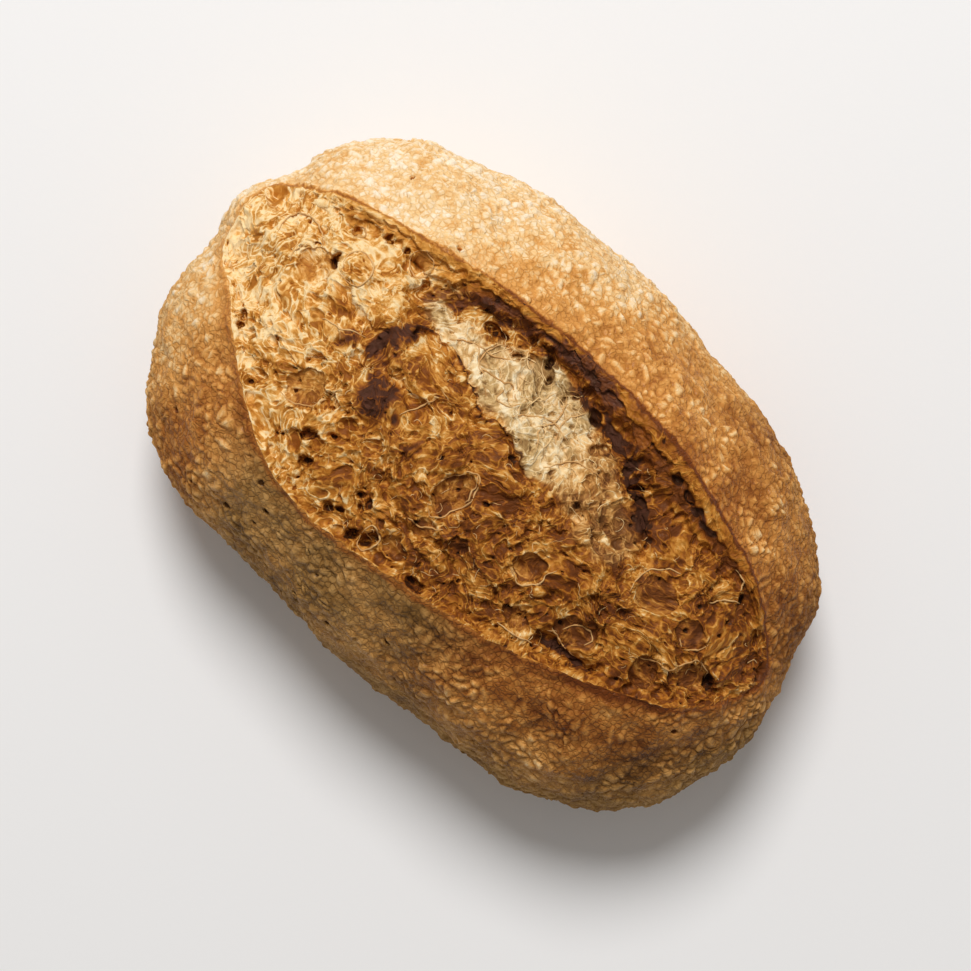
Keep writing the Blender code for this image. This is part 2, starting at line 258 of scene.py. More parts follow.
# Details of the crumb, in millimetres.
BUBBLE_SPACING = 9.5
BUBBLE_DEPTH = 1.7
SMALL_BUBBLE_SPACING = 4.4
SMALL_BUBBLE_DEPTH = 0.9
PIT_SPACING = 5.0
PIT_DEPTH = 1.2
SKIN_SPACING = 9.0
SHELF_DROP = 1.2
NO_HOLLOW = -9.0  # stands for far outside every hollow
PLUG_Z = WIDEST_Z + 8  # the hidden underside of the crumb
PLUG_SHARE = 0.97  # its outline against the crumb's edge

# Rims and stray threads on the crumb, in millimetres.
RIM_SPACING = 0.6
THREAD_SPACING = 0.5
THREAD_SIDES = 5
THREAD_SEED = 29
BENDING = 2.2  # how much a thread turns along its length, in radians

RIM_CROWDING = 1.3  # how closely the crumb's cells crowd towards its edge
INNER_SHARE = 0.9  # the crust's hidden inner side against its outer one
INNER_DROP = 14.0  # and how far it hangs below the opening's edge
QUICK_COARSENESS = 1  # how many times fewer cells the loaf is made with

CURVE_STEPS = 16  # steps of a smooth curve between two of its points
TINY = 1e-9  # keeps divisions from failing, and turns from falling short

# The map that a piece is unwrapped onto: its middle, the half width that is used, and the margin.
MAP_MIDDLE = 0.5
MAP_HALF = 0.49
MAP_MARGIN = 0.01

# The crumb's map leaves this corner to faces that are hidden inside.
CRUMB_MAP_MIDDLE = 0.56
CRUMB_MAP_HALF = 0.43
CORNER_START = 0.005
CORNER_SIZE = 0.1
CORNER_TILT = 0.02  # spreads faces that stand upright


# Curves and distances


def smooth_loop(points, steps=CURVE_STEPS):
    """A closed Catmull-Rom curve through the points, in short steps."""
    here = np.array(points, float)[:, None]
    before, after, beyond = (np.roll(here, shift, axis=0) for shift in (1, -1, -2))
    u = (np.arange(steps) / steps)[None, :, None]
    slope = after - before
    bend = 2 * before - 5 * here + 4 * after - beyond
    twist = 3 * (here - after) + beyond - before
    return (here + u / 2 * (slope + u * (bend + u * twist))).reshape(-1, 2)


def smooth_way(points, spacing):
    """An open curve through the points, resampled to this spacing in millimetres."""
    points = np.array(points, float)
    ends = np.vstack([2 * points[0] - points[1], points, 2 * points[-1] - points[-2]])
    curve = smooth_loop(ends)[CURVE_STEPS : -2 * CURVE_STEPS]
    curve = np.vstack([curve, points[-1]])
    steps = np.hypot(*np.diff(curve, axis=0).T)
    travelled = np.concatenate([[0], np.cumsum(steps)])
    stops = np.linspace(0, travelled[-1], max(4, round(travelled[-1] / spacing)))
    return np.stack([np.interp(stops, travelled, curve[:, axis]) for axis in (0, 1)], axis=1)


def reach_of(points):
    """A function from a heading to the loop's distance from the centre that way."""
    loop = smooth_loop(points)
    headings = np.arctan2(loop[:, 1], loop[:, 0])
    distances = np.hypot(loop[:, 0], loop[:, 1])
    return lambda heading: np.interp(heading, headings, distances, period=2 * np.pi)


outline_reach = reach_of(OUTLINE)
opening_reach = reach_of(OPENING)


def smooth_step(low, high, value):
    share = np.clip((value - low) / (high - low), 0, 1)
    return share * share * (3 - 2 * share)


def ellipse_heading(turn, width_share):
    """The heading of the point at this turn on an ellipse, without a jump at half a turn."""
    heading = np.arctan2(width_share * np.sin(turn), np.cos(turn))
    return turn + (heading - turn + np.pi) % (2 * np.pi) - np.pi


def unit(vectors):
    """The vectors scaled to a length of 1."""
    length = np.linalg.norm(vectors, axis=-1, keepdims=True)
    return vectors / np.maximum(length, TINY)


def distance_to(x, y, points):
    """How far each place is from the line through the points."""
    nearest = np.full(np.shape(x), np.inf)
    for start, end in zip(points[:-1], points[1:]):
        along = np.subtract(end, start).astype(float)
        share = ((x - start[0]) * along[0] + (y - start[1]) * along[1]) / (along @ along)
        share = np.clip(share, 0, 1)
        gap = np.hypot(x - start[0] - share * along[0], y - start[1] - share * along[1])
        nearest = np.minimum(nearest, gap)
    return nearest


def depth_inside(x, y, loop):
    """How deep each place lies inside a closed line, and below 0 outside it."""
    inside = np.zeros(np.shape(x), bool)
    for (start_x, start_y), (end_x, end_y) in zip(loop, loop[1:] + loop[:1]):
        if start_y != end_y:
            cross_x = start_x + (y - start_y) * (end_x - start_x) / (end_y - start_y)
            inside ^= ((start_y > y) != (end_y > y)) & (x < cross_x)
    return distance_to(x, y, loop + loop[:1]) * np.where(inside, 1, -1)


def oval_share(x, y, place_x, place_y, half_length, half_width, turn):
    """0 in the middle of a turned oval, 1 on its edge and more outside."""
    turn = np.radians(turn)
    along = (x - place_x) * np.cos(turn) + (y - place_y) * np.sin(turn)
    across = (y - place_y) * np.cos(turn) - (x - place_x) * np.sin(turn)
    return np.hypot(along / half_length, across / half_width)


def marks(x, y, places, steepness):
    """The strongest mark of some ovals at each place, where each fades out from its middle."""
    strongest = np.zeros_like(x)
    for *oval, strength in places:
        mark = strength * np.exp(-(oval_share(x, y, *oval) ** steepness))
        strongest = np.maximum(strongest, mark)
    return strongest


# Scattered detail, the same in each run from the same seed


# Large odd numbers that scatter the bits of the whole numbers that they multiply.
CELL_SPREAD = np.uint32(2246822507)
NEXT_SPREAD = np.uint32(3266489909)
NEXT_OFFSET = np.uint32(668265263)
SEED_SPREAD = 7919
SEED_OFFSET = 17


def randoms(cells, seed, count):
    """So many repeatable random numbers from 0 to 1 for each whole-number cell."""
    value = np.full(cells.shape[:-1], seed * SEED_SPREAD + SEED_OFFSET, np.uint32)
    for axis in range(cells.shape[-1]):
        value = (value ^ cells[..., axis].astype(np.uint32)) * CELL_SPREAD
        value ^= value >> np.uint32(13)
    numbers = np.empty((*value.shape, count), np.float32)
    for i in range(count):
        value = value * NEXT_SPREAD + NEXT_OFFSET
        value ^= value >> np.uint32(15)
        numbers[..., i] = value / 2.0**32
    return numbers


NOISE_GAIN = 2.2
CREASE_SHARPNESS = 2.2
FAR_AWAY = 9.0  # more cells than any gap that counts


def noise(points, wave, seed):
    """Smooth noise from about -1 to 1 with its bumps a wave apart, in two or three dimensions.

    Each layer of noise has a seed of its own, so that no two look alike.
    """
    place = points / wave
    cell = np.floor(place).astype(np.int64)
    inside = place - cell
    fade = inside**3 * (inside * (inside * 6 - 15) + 10)
    dimensions = points.shape[-1]
    total = np.zeros(points.shape[:-1])
    for corner in itertools.product((0, 1), repeat=dimensions):
        corner = np.array(corner)
        slope = randoms(cell + corner, seed, dimensions) * 2 - 1
        weight = np.prod(np.where(corner, fade, 1 - fade), axis=-1)
        total += weight * ((inside - corner) * slope).sum(axis=-1)
    return total * NOISE_GAIN


def octaves(points, wave, seed, count, shrink, weaken):
    """Noise with finer and weaker noise on it."""
    layers = [weaken**i * noise(points, wave * shrink**i, seed + 31 * i) for i in range(count)]
    return sum(layers) / sum(weaken**i for i in range(count))


def creases(points, wave, seed):
    """Sharp crests from 0 to 1 along the lines where noise changes sign."""
    return np.clip(1 - CREASE_SHARPNESS * np.abs(noise(points, wave, seed)), 0, 1) ** 2


def domes(points, spacing, seed, small, large, share):
    """Scattered round domes: height of the tallest one in millimetres, below 0 outside.

    Radii run from small to large shares of the spacing, and only a share of the places has one.
    """
    place = points / spacing
    cell = np.floor(place).astype(np.int64)
    dimensions = points.shape[-1]
    height = np.full(points.shape[:-1], -spacing)
    for step in itertools.product((-1, 0, 1), repeat=dimensions):
        near = cell + np.array(step)
        random = randoms(near, seed, dimensions + 2)
        gap = place - near - random[..., :dimensions]
        radius = small + (large - small) * random[..., dimensions] ** 2
        this = (radius - (gap**2).sum(axis=-1) / radius) * spacing
        height = np.maximum(height, np.where(random[..., dimensions + 1] < share, this, -spacing))
    return height


def skins(points, spacing, seed):
    """Scattered cells that share thin walls: millimetres from wall and from middle, and a tint."""
    place = points / spacing
    cell = np.floor(place).astype(np.int64)
    first = np.full(points.shape[:-1], FAR_AWAY)
    second = np.full(points.shape[:-1], FAR_AWAY)
    tint = np.zeros(points.shape[:-1])
    for step in itertools.product((-1, 0, 1), repeat=points.shape[-1]):
        near = cell + np.array(step)
        random = randoms(near, seed, points.shape[-1] + 1)
        gap = np.linalg.norm(place - near - 0.15 - 0.7 * random[..., :-1], axis=-1)
        tint = np.where(gap < first, random[..., -1], tint)
        second = np.minimum(second, np.maximum(first, gap))
        first = np.minimum(first, gap)
    return (second - first) / 2 * spacing, first * spacing, tint


def warped(points, wave, size, seed):
    """The points pushed about by noise, so that what is laid over them swirls."""
    pushes = [noise(points, wave, seed + axis) for axis in range(points.shape[-1])]
    return points + size * np.stack(pushes, axis=-1)


# The loaf's form, as in the solid


def dome_z(x, y):
    share = np.clip(np.hypot(x, y) / outline_reach(np.arctan2(y, x)), 0, 1)
    return WIDEST_Z + (TOP_Z - WIDEST_Z) * np.sqrt(1 - share**DOME_POWER)


def by_side(x, y, ear_values, lip_value):
    """An ear's value on the +Y side and the lip's on the -Y side, with a short blend at the ends."""
    side = smooth_step(-6, 6, y)
    return side * np.interp(x, EAR_X, ear_values) + (1 - side) * lip_value


def crumb_form(x, y):
    """The torn crumb's large form, and how far each place is inside the crust's edge."""
    heading = np.arctan2(y, x)
    edge_reach = opening_reach(heading)
    edge_x, edge_y = edge_reach * np.cos(heading), edge_reach * np.sin(heading)
    edge_gap = distance_to(x, y, [*smooth_loop(OPENING, 4), OPENING[0]])
    rise = by_side(edge_x, edge_y, EAR_RISE, LIP_RISE)
    drop = by_side(edge_x, edge_y, EAR_DROP, LIP_DROP)
    wall = by_side(edge_x, edge_y, EAR_WALL, LIP_WALL)
    relief = -drop * np.exp(-((edge_gap / DROP_REACH) ** 2))
    bent = warped(np.stack([x, y], axis=-1), 7.0, 1.1, 41)
    for points, half_width, depth, flatness in FURROWS:
        gap = distance_to(bent[..., 0], bent[..., 1], points)
        relief -= depth * np.exp(-((gap / half_width) ** flatness))
    for *oval, depth, steepness in HOLLOWS:
        relief -= depth * np.exp(-(oval_share(bent[..., 0], bent[..., 1], *oval) ** steepness))
    ragged_gap = edge_gap + 1.3 * noise(bent, 6.0, 43) + 0.6 * noise(bent, 2.4, 45)
    share = smooth_step(0, 1, edge_gap / wall)
    torn = smooth_step(-118, -100, x) * smooth_step(90, 65, x) * smooth_step(0, 15, y)
    relief *= 1 - 0.35 * torn
    slope = 0.45 * smooth_step(0, 1.05, edge_gap / wall)
    step = 0.55 * smooth_step(0.8, 1.15, ragged_gap / wall)
    share += torn * (slope + step - share)
    z = dome_z(x, y) + rise * (1 - share) + relief * share
    return z, SimpleNamespace(edge_gap=edge_gap, wall=wall)


def swollen(points):
    """The points moved out or in by the slow swells, and not at all on the base."""
    rng = np.random.default_rng(SWELL_SEED)
    lengths = np.geomspace(SWELL_SHORTEST, SWELL_LONGEST, SWELL_COUNT)
    directions = rng.normal(size=(SWELL_COUNT, 3))
    directions /= np.linalg.norm(directions, axis=1, keepdims=True)
    phases = rng.uniform(0, 2 * np.pi, SWELL_COUNT)
    waves = 2 * np.pi * directions / lengths[:, None]
    heights = SWELL_HEIGHT * lengths / SWELL_LONGEST
    size = (np.sin(points @ waves.T + phases) * heights).sum(axis=-1)
    size *= smooth_step(0, SWELL_FADE_Z, points[..., 2])
    radii = np.array([HALF_LENGTH, HALF_WIDTH, TOP_Z - WIDEST_Z])
    outward = (points - np.array([0, 0, WIDEST_Z])) / radii**2
    outward[..., 2] = np.maximum(outward[..., 2], 0)
    return points + unit(outward) * size[..., None]


def ragged(points):
    """The points with small wavers in all directions, which leave the base flat."""
    loose = smooth_step(0, WAVER_FADE_Z, points[..., 2])[..., None]
    coarse = warped(points, *COARSE_WAVER) - points
    fine = warped(points, *FINE_WAVER) - points
    return points + (coarse + fine) * loose


def square_to_disc(across_x, across_y):
    """Turn and share of the radius for each place in a square, ring by square ring."""
    share = np.maximum(np.abs(across_x), np.abs(across_y))
    safe = np.where(share > 0, share, 1)
    on_side = np.abs(across_x) > np.abs(across_y)
    offset = np.where(on_side, across_y, across_x) / safe * np.pi / 4
    turn = np.where(
        on_side,
        np.where(across_x > 0, offset, np.pi - offset),
        np.where(across_y > 0, np.pi / 2 - offset, offset - np.pi / 2),
    )
    return turn, share


def ring_of_edge(rows):
    """The edge of a grid of values, anticlockwise from its -Y corner on the +X side."""
    return np.concatenate([rows[-1, :-1], rows[::-1, -1][:-1], rows[0, ::-1][:-1], rows[:, 0][:-1]])


def upper_ring(turn, down):
    """A ring of the upper crust, from the opening's edge at 0 down to the widest line at 1."""
    edge_heading = ellipse_heading(turn, OPENING_SHARE)
    edge_reach = opening_reach(edge_heading)
    edge_share = edge_reach / outline_reach(edge_heading)
    edge_tilt = np.arccos(edge_share ** (DOME_POWER / 2))
    rim_heading = ellipse_heading(turn, HALF_WIDTH / HALF_LENGTH)
    heading = edge_heading * (1 - down) + rim_heading * down
    tilt = edge_tilt * (1 - down)
    reach = np.cos(tilt) ** (2 / DOME_POWER) * outline_reach(heading)
    x, y = reach * np.cos(heading), reach * np.sin(heading)
    edge_x, edge_y = edge_reach * np.cos(edge_heading), edge_reach * np.sin(edge_heading)
    rise = by_side(edge_x, edge_y, EAR_RISE, LIP_RISE)
    gap = np.hypot(x - edge_x, y - edge_y)
    z = WIDEST_Z + (TOP_Z - WIDEST_Z) * np.sin(tilt)
    z += rise * np.exp(-gap / RISE_REACH) * (1 - down)
    return np.stack([x, y, z], axis=-1)


def lower_ring(turn, down):
    """A ring of the lower crust, from the widest line at 0 round under to the base's edge at 1."""
    heading = ellipse_heading(turn, HALF_WIDTH / HALF_LENGTH)
    tilt = down * np.pi / 2
    share = BASE_SHARE + (1 - BASE_SHARE) * np.cos(tilt) ** (2 / BELLY_POWER)
    reach = share * outline_reach(heading)
    z = np.full_like(turn, WIDEST_Z * (1 - np.sin(tilt) ** (2 / BELLY_POWER)))
    return np.stack([reach * np.cos(heading), reach * np.sin(heading), z], axis=-1)


def facing(rows, wraps):
    """Unit normals of a grid of points, whose second direction may close on itself."""
    down = np.gradient(rows, axis=0)
    if wraps:
        across = np.roll(rows, -1, axis=1) - np.roll(rows, 1, axis=1)
    else:
        across = np.gradient(rows, axis=1)
    return unit(np.cross(down, across))


@functools.lru_cache
def loaf_form(cells_along, cells_across, upper_rings, lower_rings):
    """The smooth loaf: rows of crumb, rings of crust, and what the details need to know."""
    sides = [np.linspace(-1, 1, cells + 1) for cells in (cells_along, cells_across)]
    square = np.meshgrid(*sides, indexing="ij")
    turn, share = square_to_disc(*square)
    heading = ellipse_heading(turn, OPENING_SHARE)
    reach = (1 - (1 - share) ** RIM_CROWDING) * opening_reach(heading)
    x, y = reach * np.cos(heading), reach * np.sin(heading)
    z, facts = crumb_form(x, y)
    crumb = swollen(np.stack([x, y, z], axis=-1))

    turns = ring_of_edge(turn)
    turns = np.where(turns < turns[0] - TINY, turns + 2 * np.pi, turns)
    rings = [upper_ring(turns, i / upper_rings) for i in range(upper_rings + 1)]
    rings += [lower_ring(turns, (i + 1) / lower_rings) for i in range(lower_rings)]
    crust = swollen(np.stack(rings))
    crust[0] = ring_of_edge(crumb)
    every = np.concatenate([crumb.reshape(-1, 3), crust.reshape(-1, 3)])
    return SimpleNamespace(
        plan=np.stack([x, y], axis=-1), square=square, facts=facts, crumb=crumb, crust=crust,
        turns=turns, low=every.min(axis=0), high=every.max(axis=0), upper_rings=upper_rings,
    )


def in_frame(form, points):
    """Millimetre points set into the solid's box, in metres."""
    share = (points - form.low) / (form.high - form.low)
    placed = LOAF_LOW + share * (LOAF_HIGH - LOAF_LOW)
    placed[..., 2] = np.maximum(placed[..., 2], LOAF_LOW[2])
    return placed


# Relief of crust and crumb


def crust_relief(form, blister_size, blister_height):
    """How far the crust stands out, and the fields that its finish reads."""
    points = form.crust
    x, y, height = points[..., 0], points[..., 1], points[..., 2]
    edge_gap = np.linalg.norm(points[..., :2] - points[:1, :, :2], axis=-1)
    bent = warped(warped(points, 9.0, 1.8, 11), 3.0, 0.5, 15)
    wall_gap, _, tint = skins(bent, blister_size, 12)
    blisters = np.clip(wall_gap / blister_size / BLISTER_SHOULDER, 0, 1) ** 0.75
    blisters *= 0.4 + 0.6 * smooth_step(-0.1, 0.55, tint)
    patch = smooth_step(-0.5, 0.2, noise(points, 22.0, 17))
    low_side = smooth_step(10, -20, y)
    calm = smooth_step(0.0, 1.3 + 3.0 * low_side, edge_gap)
    strength = (0.55 + 0.45 * patch) * calm
    lumps = noise(points, 15.0, 18) * 0.7 + noise(points, 6.5, 19) * 0.4
    grain = noise(points, 1.7, 20) * 0.12
    pores = np.clip(domes(points, PORE_SPACING, 21, 0.06, 0.16, PORE_SHARE) / 0.5, 0, 1)
    size = (blisters - BLISTER_MEAN) * strength * blister_height
    size += (lumps + grain) * smooth_step(0, 1.3, edge_gap)
    size -= pores * PORE_DEPTH * calm

    # Painted light: the crust is painted paler on the side towards the key light, partly its paler bake
    # there.
    lit_side = smooth_step(-25, 105, (y - x) / math.sqrt(2))
    ear_side = smooth_step(-20, 30, y)
    browned = marks(x, y, BROWNED, 2) * smooth_step(20, 50, height)
    # Painted light: at the end turned from the light the crust is painted browner and less olive, in
    # place of warm light bounced onto it, partly its own golden bake.
    golden_end = smooth_step(-45, -85, x) * (1 - lit_side)
    # Painted shade: low down and away from the light the crust is blended towards dark olive colours,
    # partly its own duller bake.
    low_down = 1 - smooth_step(0.45, 0.98, height / TOP_Z)
    olive_and_shade = low_down * (1 - 0.8 * lit_side) * (1 - 0.6 * ear_side) * (1 - 0.9 * golden_end)
    olive = 0.8 * smooth_step(5, -25, y) * smooth_step(-85, -50, x) * smooth_step(60, 5, x)
    fields = {
        "blister": blisters * (0.2 + 0.8 * strength),
        "edge": edge_gap,
        "browned": browned + 0.55 * golden_end,
        "pore": pores * calm,
        "height": height / TOP_Z,
        "lit_side": lit_side,
        "ear_side": ear_side,
        "olive_and_shade": np.maximum(olive_and_shade, olive),
    }
    return size * smooth_step(0.0, BASE_FADE_Z, height), fields


def swirls(plan):
    """Where each place in plan lies on the dough's swirling fibres."""
    return warped(warped(plan, 26.0, 4.5, 201), 8.0, 1.2, 203)


def crumb_marks(plan):
    """Fields of what stands at set places in the crumb, most of them distances in millimetres."""
    x, y = plan[..., 0], plan[..., 1]
    wavered = warped(warped(plan, 11.0, 2.2, 249), 4.0, 1.6, 251)
    wavered = wavered[..., 0], wavered[..., 1]
    rift = smooth_step(-2.5, 1.0, depth_inside(*wavered, PALE_RIFT))
    bent = warped(plan, 3.0, 0.5, 253)
    hollow = np.full_like(x, NO_HOLLOW)
    for *oval, depth, _ in HOLLOWS:
        if depth > 0:
            share = oval_share(bent[..., 0], bent[..., 1], *oval)
            hollow = np.maximum(hollow, (1 - share) * min(oval[2:4]))
    return SimpleNamespace(
        holes=marks(x, y, HOLES, 6),
        burnt=marks(*wavered, BURNS, 2),
        tear=distance_to(*wavered, DARK_TEAR),
        scarp=distance_to(*wavered, SCARP),
        flap=1 - smooth_step(1.6, 3.6, distance_to(*wavered, FLAP)),
        rift=rift * (1 - 0.6 * smooth_step(8, 26, x)),
        hollow=hollow,
    )


def torn_wall(plan, facts):
    """Where the torn wall under the ear is, from 0 to 1, and the ragged shelf low on it."""
    x, y = plan[..., 0], plan[..., 1]
    gap = facts.edge_gap + 1.4 * noise(plan, 5.0, 243) + 0.6 * noise(plan, 2.2, 245)
    wall = 1 - smooth_step(0.8, 1.0, gap / facts.wall)
    wall *= smooth_step(-10, 12, y) * smooth_step(-112, -90, x) * smooth_step(104, 88, x)
    shelf = smooth_step(0.4, 0.5, (gap + 0.8 * noise(plan, 3.5, 247)) / facts.wall)
    return wall, shelf * wall


def crumb_relief(plan, facts, fibre_height):
    """Height of the crumb's fine relief over its form, and the fields that its finish reads.

    Most fields are distances in millimetres, from which the finish draws sharp lines.
    """
    x, y = plan[..., 0], plan[..., 1]
    swirled = swirls(plan)
    crimped = warped(swirled, 3.2, 0.9, 229)
    fibres = 0.55 * creases(crimped, 3.6, 211) + 0.45 * creases(crimped - 7, 2.0, 215)
    folds = creases(swirled, 12.0, 217)
    lumps = octaves(plan, 12.0, 221, 3, 0.5, 0.35)
    wall_gap, middle_gap, _ = skins(crimped, SKIN_SPACING, 225)
    bubble = domes(crimped + 20, BUBBLE_SPACING, 231, 0.1, 0.5, 0.6)
    small_bubble = domes(crimped + 30, SMALL_BUBBLE_SPACING, 233, 0.14, 0.46, 0.6)
    pits = domes(plan, PIT_SPACING, 235, 0.07, 0.2, 0.38)
    bubbly = smooth_step(-0.25, 0.25, noise(plan, 16.0, 237))

    bowl = np.clip(bubble / 2.4, 0, 1) ** 0.7
    small_bowl = np.clip(small_bubble / 1.0, 0, 1) ** 0.7
    pit = np.clip(pits / 0.5, 0, 1)
    small_rim = 0.7 * np.exp(-((small_bubble / 0.4) ** 2))
    rim = np.maximum(np.exp(-((bubble / 0.5) ** 2)), small_rim)
    skin = np.exp(-((wall_gap / 0.5) ** 2)) * bubbly
    middle = np.exp(-((middle_gap / 3.0) ** 2))
    burst = 0.45 * rim - BUBBLE_DEPTH * bowl - SMALL_BUBBLE_DEPTH * small_bowl

    at = crumb_marks(plan)
    wall, shelf = torn_wall(plan, facts)
    rough = 1 - 0.75 * smooth_step(-0.5, 1.5, at.hollow)
    fine = fibre_height * (fibres - 0.35) * rough + 0.5 * folds * rough + 1.0 * lumps
    fine += 0.35 * noise(crimped, 4.0, 223) * rough
    fine += (0.7 * skin - 1.3 * bubbly * middle) * rough
    fine += burst * rough - PIT_DEPTH * pit
    fine += 0.8 * np.exp(-((at.hollow / 0.6) ** 2)) + 1.4 * np.exp(-((at.scarp / 1.3) ** 2))
    fine *= 1 - 0.6 * wall
    stripes = creases(np.stack([x / 3.5, facts.edge_gap], axis=-1), 1.6, 241)
    fine += (0.5 * stripes - SHELF_DROP * shelf) * wall
    calm = smooth_step(0.0, 1.6, facts.edge_gap)
    fields = {
        "fibre": fibres,
        "fold": folds,
        "skin": wall_gap + 3 * (1 - bubbly),
        "bubble": bubble,
        "small_bubble": small_bubble,
        "bowl": np.maximum(bowl, small_bowl * 0.8) * rough,
        "pit": np.maximum(pit, np.clip(at.holes / 2.0, 0, 1)),
        "hollow": at.hollow,
        "burnt": at.burnt,
        "tear": at.tear + 4 * smooth_step(3, 0, facts.edge_gap),
        "rift": at.rift,
        "scarp": at.scarp,
        "flap": at.flap,
        "wall": wall,
        "shelf": shelf,
        "edge": facts.edge_gap,
        "far": smooth_step(-95, 5, x) - 0.4 * smooth_step(-98, -114, x),
        "ear_side": smooth_step(-15, 15, y),
    }
    return fine * calm, at.holes * calm, fields


def crumb_points(plan, fibre_height):
    """The finished crumb surface over any places in plan, for what lies on it."""
    z, facts = crumb_form(plan[..., 0], plan[..., 1])
    smooth = swollen(np.stack([plan[..., 0], plan[..., 1], z], axis=-1))
    fine, holes, _ = crumb_relief(plan, facts, fibre_height)
    smooth[..., 2] += fine - holes
    return smooth


# Meshes


def new_piece(name, points, faces, normals, fields, uv, material):
    """A mesh object from points in metres, with fields for its finish and a map for baking."""
    mesh = bpy.data.meshes.new(name)
    mesh.from_pydata(points.tolist(), [], faces)
    mesh.update()
    mesh.shade_smooth()
    for field, values in fields.items():
        values = np.asarray(values, np.float32)
        if values.ndim == 1:
            mesh.attributes.new(field, "FLOAT", "POINT").data.foreach_set("value", values)
        else:
            vectors = mesh.attributes.new(field, "FLOAT_VECTOR", "POINT")
            vectors.data.foreach_set("vector", values.ravel())
    corners = np.empty(len(mesh.loops), np.int32)
    mesh.loops.foreach_get("vertex_index", corners)
    layer = mesh.uv_layers.new(name="OFBake")
    layer.data.foreach_set("uv", uv[corners].astype(np.float32).ravel())
    if normals is not None:
        mesh.normals_split_custom_set_from_vertices(normals.tolist())
    mesh.materials.append(material)
    piece = bpy.data.objects.new(name, mesh)
    bpy.context.scene.collection.objects.link(piece)
    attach(piece, BODY)
    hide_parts(NODE)


def strip(upper, lower):
    """Four-sided faces between two closed rings of points, each given by its points' numbers."""
    return np.stack([upper, lower, np.roll(lower, -1), np.roll(upper, -1)], axis=1).tolist()


def ring_faces(rings, count):
    """Four-sided faces between rings of so many points that follow each other in one list."""
    numbers = np.arange(rings * count).reshape(rings, count)
    faces = []
    for upper, lower in zip(numbers[:-1], numbers[1:]):
        faces += strip(upper, lower)
    return faces


def corner_map(points):
    """A small place in the map's corner for faces that are hidden inside."""
    flat = (points[:, :2] - points[:, :2].min(axis=0)) / np.ptp(points[:, :2], axis=0).max()
    return CORNER_START + CORNER_SIZE * flat + CORNER_TILT * points[:, 2:3] / TOP_Z


def disc_map(reach, turns):
    """Rings in the map: the share of its half width, and the turn round its middle."""
    return MAP_MIDDLE + MAP_HALF * reach * np.stack([np.cos(turns), np.sin(turns)], axis=-1)


def make_crust(look, shape):
    """The crust in three closed bands that share the rings of points where they meet."""
    form = shape.form()
    size, fields = crust_relief(form, look.blister_size / MM, look.blister_height / MM)
    smooth = form.crust + facing(form.crust, True) * size[..., None]
    rings = ragged(smooth)
    normals = facing(rings, True)
    normals[-1] = [0.0, 0.0, -1.0]
    inside = rings * INNER_SHARE + [0, 0, WIDEST_Z * (1 - INNER_SHARE)]
    inside[0] = rings[0] - [0, 0, INNER_DROP]
    material = crust_finish(look)
    middle, rim, last = form.upper_rings // 2, form.upper_rings, len(rings) - 1
    for name, first, final, map_reach in (
        ("top_crust", 0, middle, (0.45, 1.0)),
        ("side_crust", middle, rim, (0.6, 1.0)),
        ("lower_crust", rim, last, (1.0, 0.45)),
    ):
        outer = rings[first : final + 1]
        is_base = final == last
        hidden = inside[first][None] if is_base else inside[[final, first]]
        count = len(form.turns)
        points = np.concatenate([outer, hidden]).reshape(-1, 3)
        facings = np.concatenate([normals[first : final + 1], -normals[[first] * len(hidden)]])
        faces = ring_faces(len(outer), count)
        here, start = np.arange(count), len(outer) * count
        if is_base:
            faces.append((start - 1 - here).tolist())
            faces.append((start + here).tolist())
            faces += strip(start + here, here)
        else:
            for upper, lower in ((start - count, start), (start, start + count), (start + count, 0)):
                faces += strip(upper + here, lower + here)
        reach = np.linspace(*map_reach, len(outer))
        uv = disc_map(reach[:, None, None], form.turns[None, :]).reshape(-1, 2)
        uv = np.concatenate([uv, corner_map(hidden.reshape(-1, 3))])
        unseen = np.zeros(hidden.shape[:2])
        values = {
            key: np.concatenate([field[first : final + 1], unseen]).ravel()
            for key, field in fields.items()
        }
        facings = facings.reshape(-1, 3)
        new_piece(name, in_frame(form, points), faces, facings, values, uv, material)


def make_crumb(look, shape):
    """The torn crumb, closed underneath by a plain plug inside the loaf."""
    form = shape.form()
    fine, holes, fields = crumb_relief(form.plan, form.facts, look.fibre_height / MM)
    rows = form.crumb + facing(form.crumb, False) * fine[..., None]
    rows[..., 2] -= holes
    rows = ragged(rows)
    normals = facing(rows, False)
    columns, lines = rows.shape[0] - 1, rows.shape[1] - 1
    index = np.arange((columns + 1) * (lines + 1)).reshape(columns + 1, lines + 1)
    quads = [index[:-1, :-1], index[1:, :-1], index[1:, 1:], index[:-1, 1:]]
    faces = np.stack([corner.ravel() for corner in quads], axis=1).tolist()

    edge = ring_of_edge(index)
    plug = ring_of_edge(rows) * [PLUG_SHARE, PLUG_SHARE, 0.0] + [0, 0, PLUG_Z]
    top = rows.reshape(-1, 3)
    points = np.concatenate([top, plug])
    below = len(top) + np.arange(len(plug))
    faces += strip(edge, below)
    faces.append(below[::-1].tolist())
    flat = np.stack([side.ravel() for side in form.square], axis=1)
    uv = np.concatenate([CRUMB_MAP_MIDDLE + CRUMB_MAP_HALF * flat, corner_map(plug)])
    values = {
        key: np.concatenate([field.ravel(), np.zeros(len(plug))]) for key, field in fields.items()
    }
    flow = np.concatenate([swirls(form.plan), rows[..., 2:]], axis=-1).reshape(-1, 3)
    values["flow"] = np.concatenate([flow, plug])
    facings = np.concatenate([normals.reshape(-1, 3), np.tile([0.0, 0.0, -1.0], (len(plug), 1))])
    material = crumb_finish(look)
    new_piece("crumb", in_frame(form, points), faces, facings, values, uv, material)


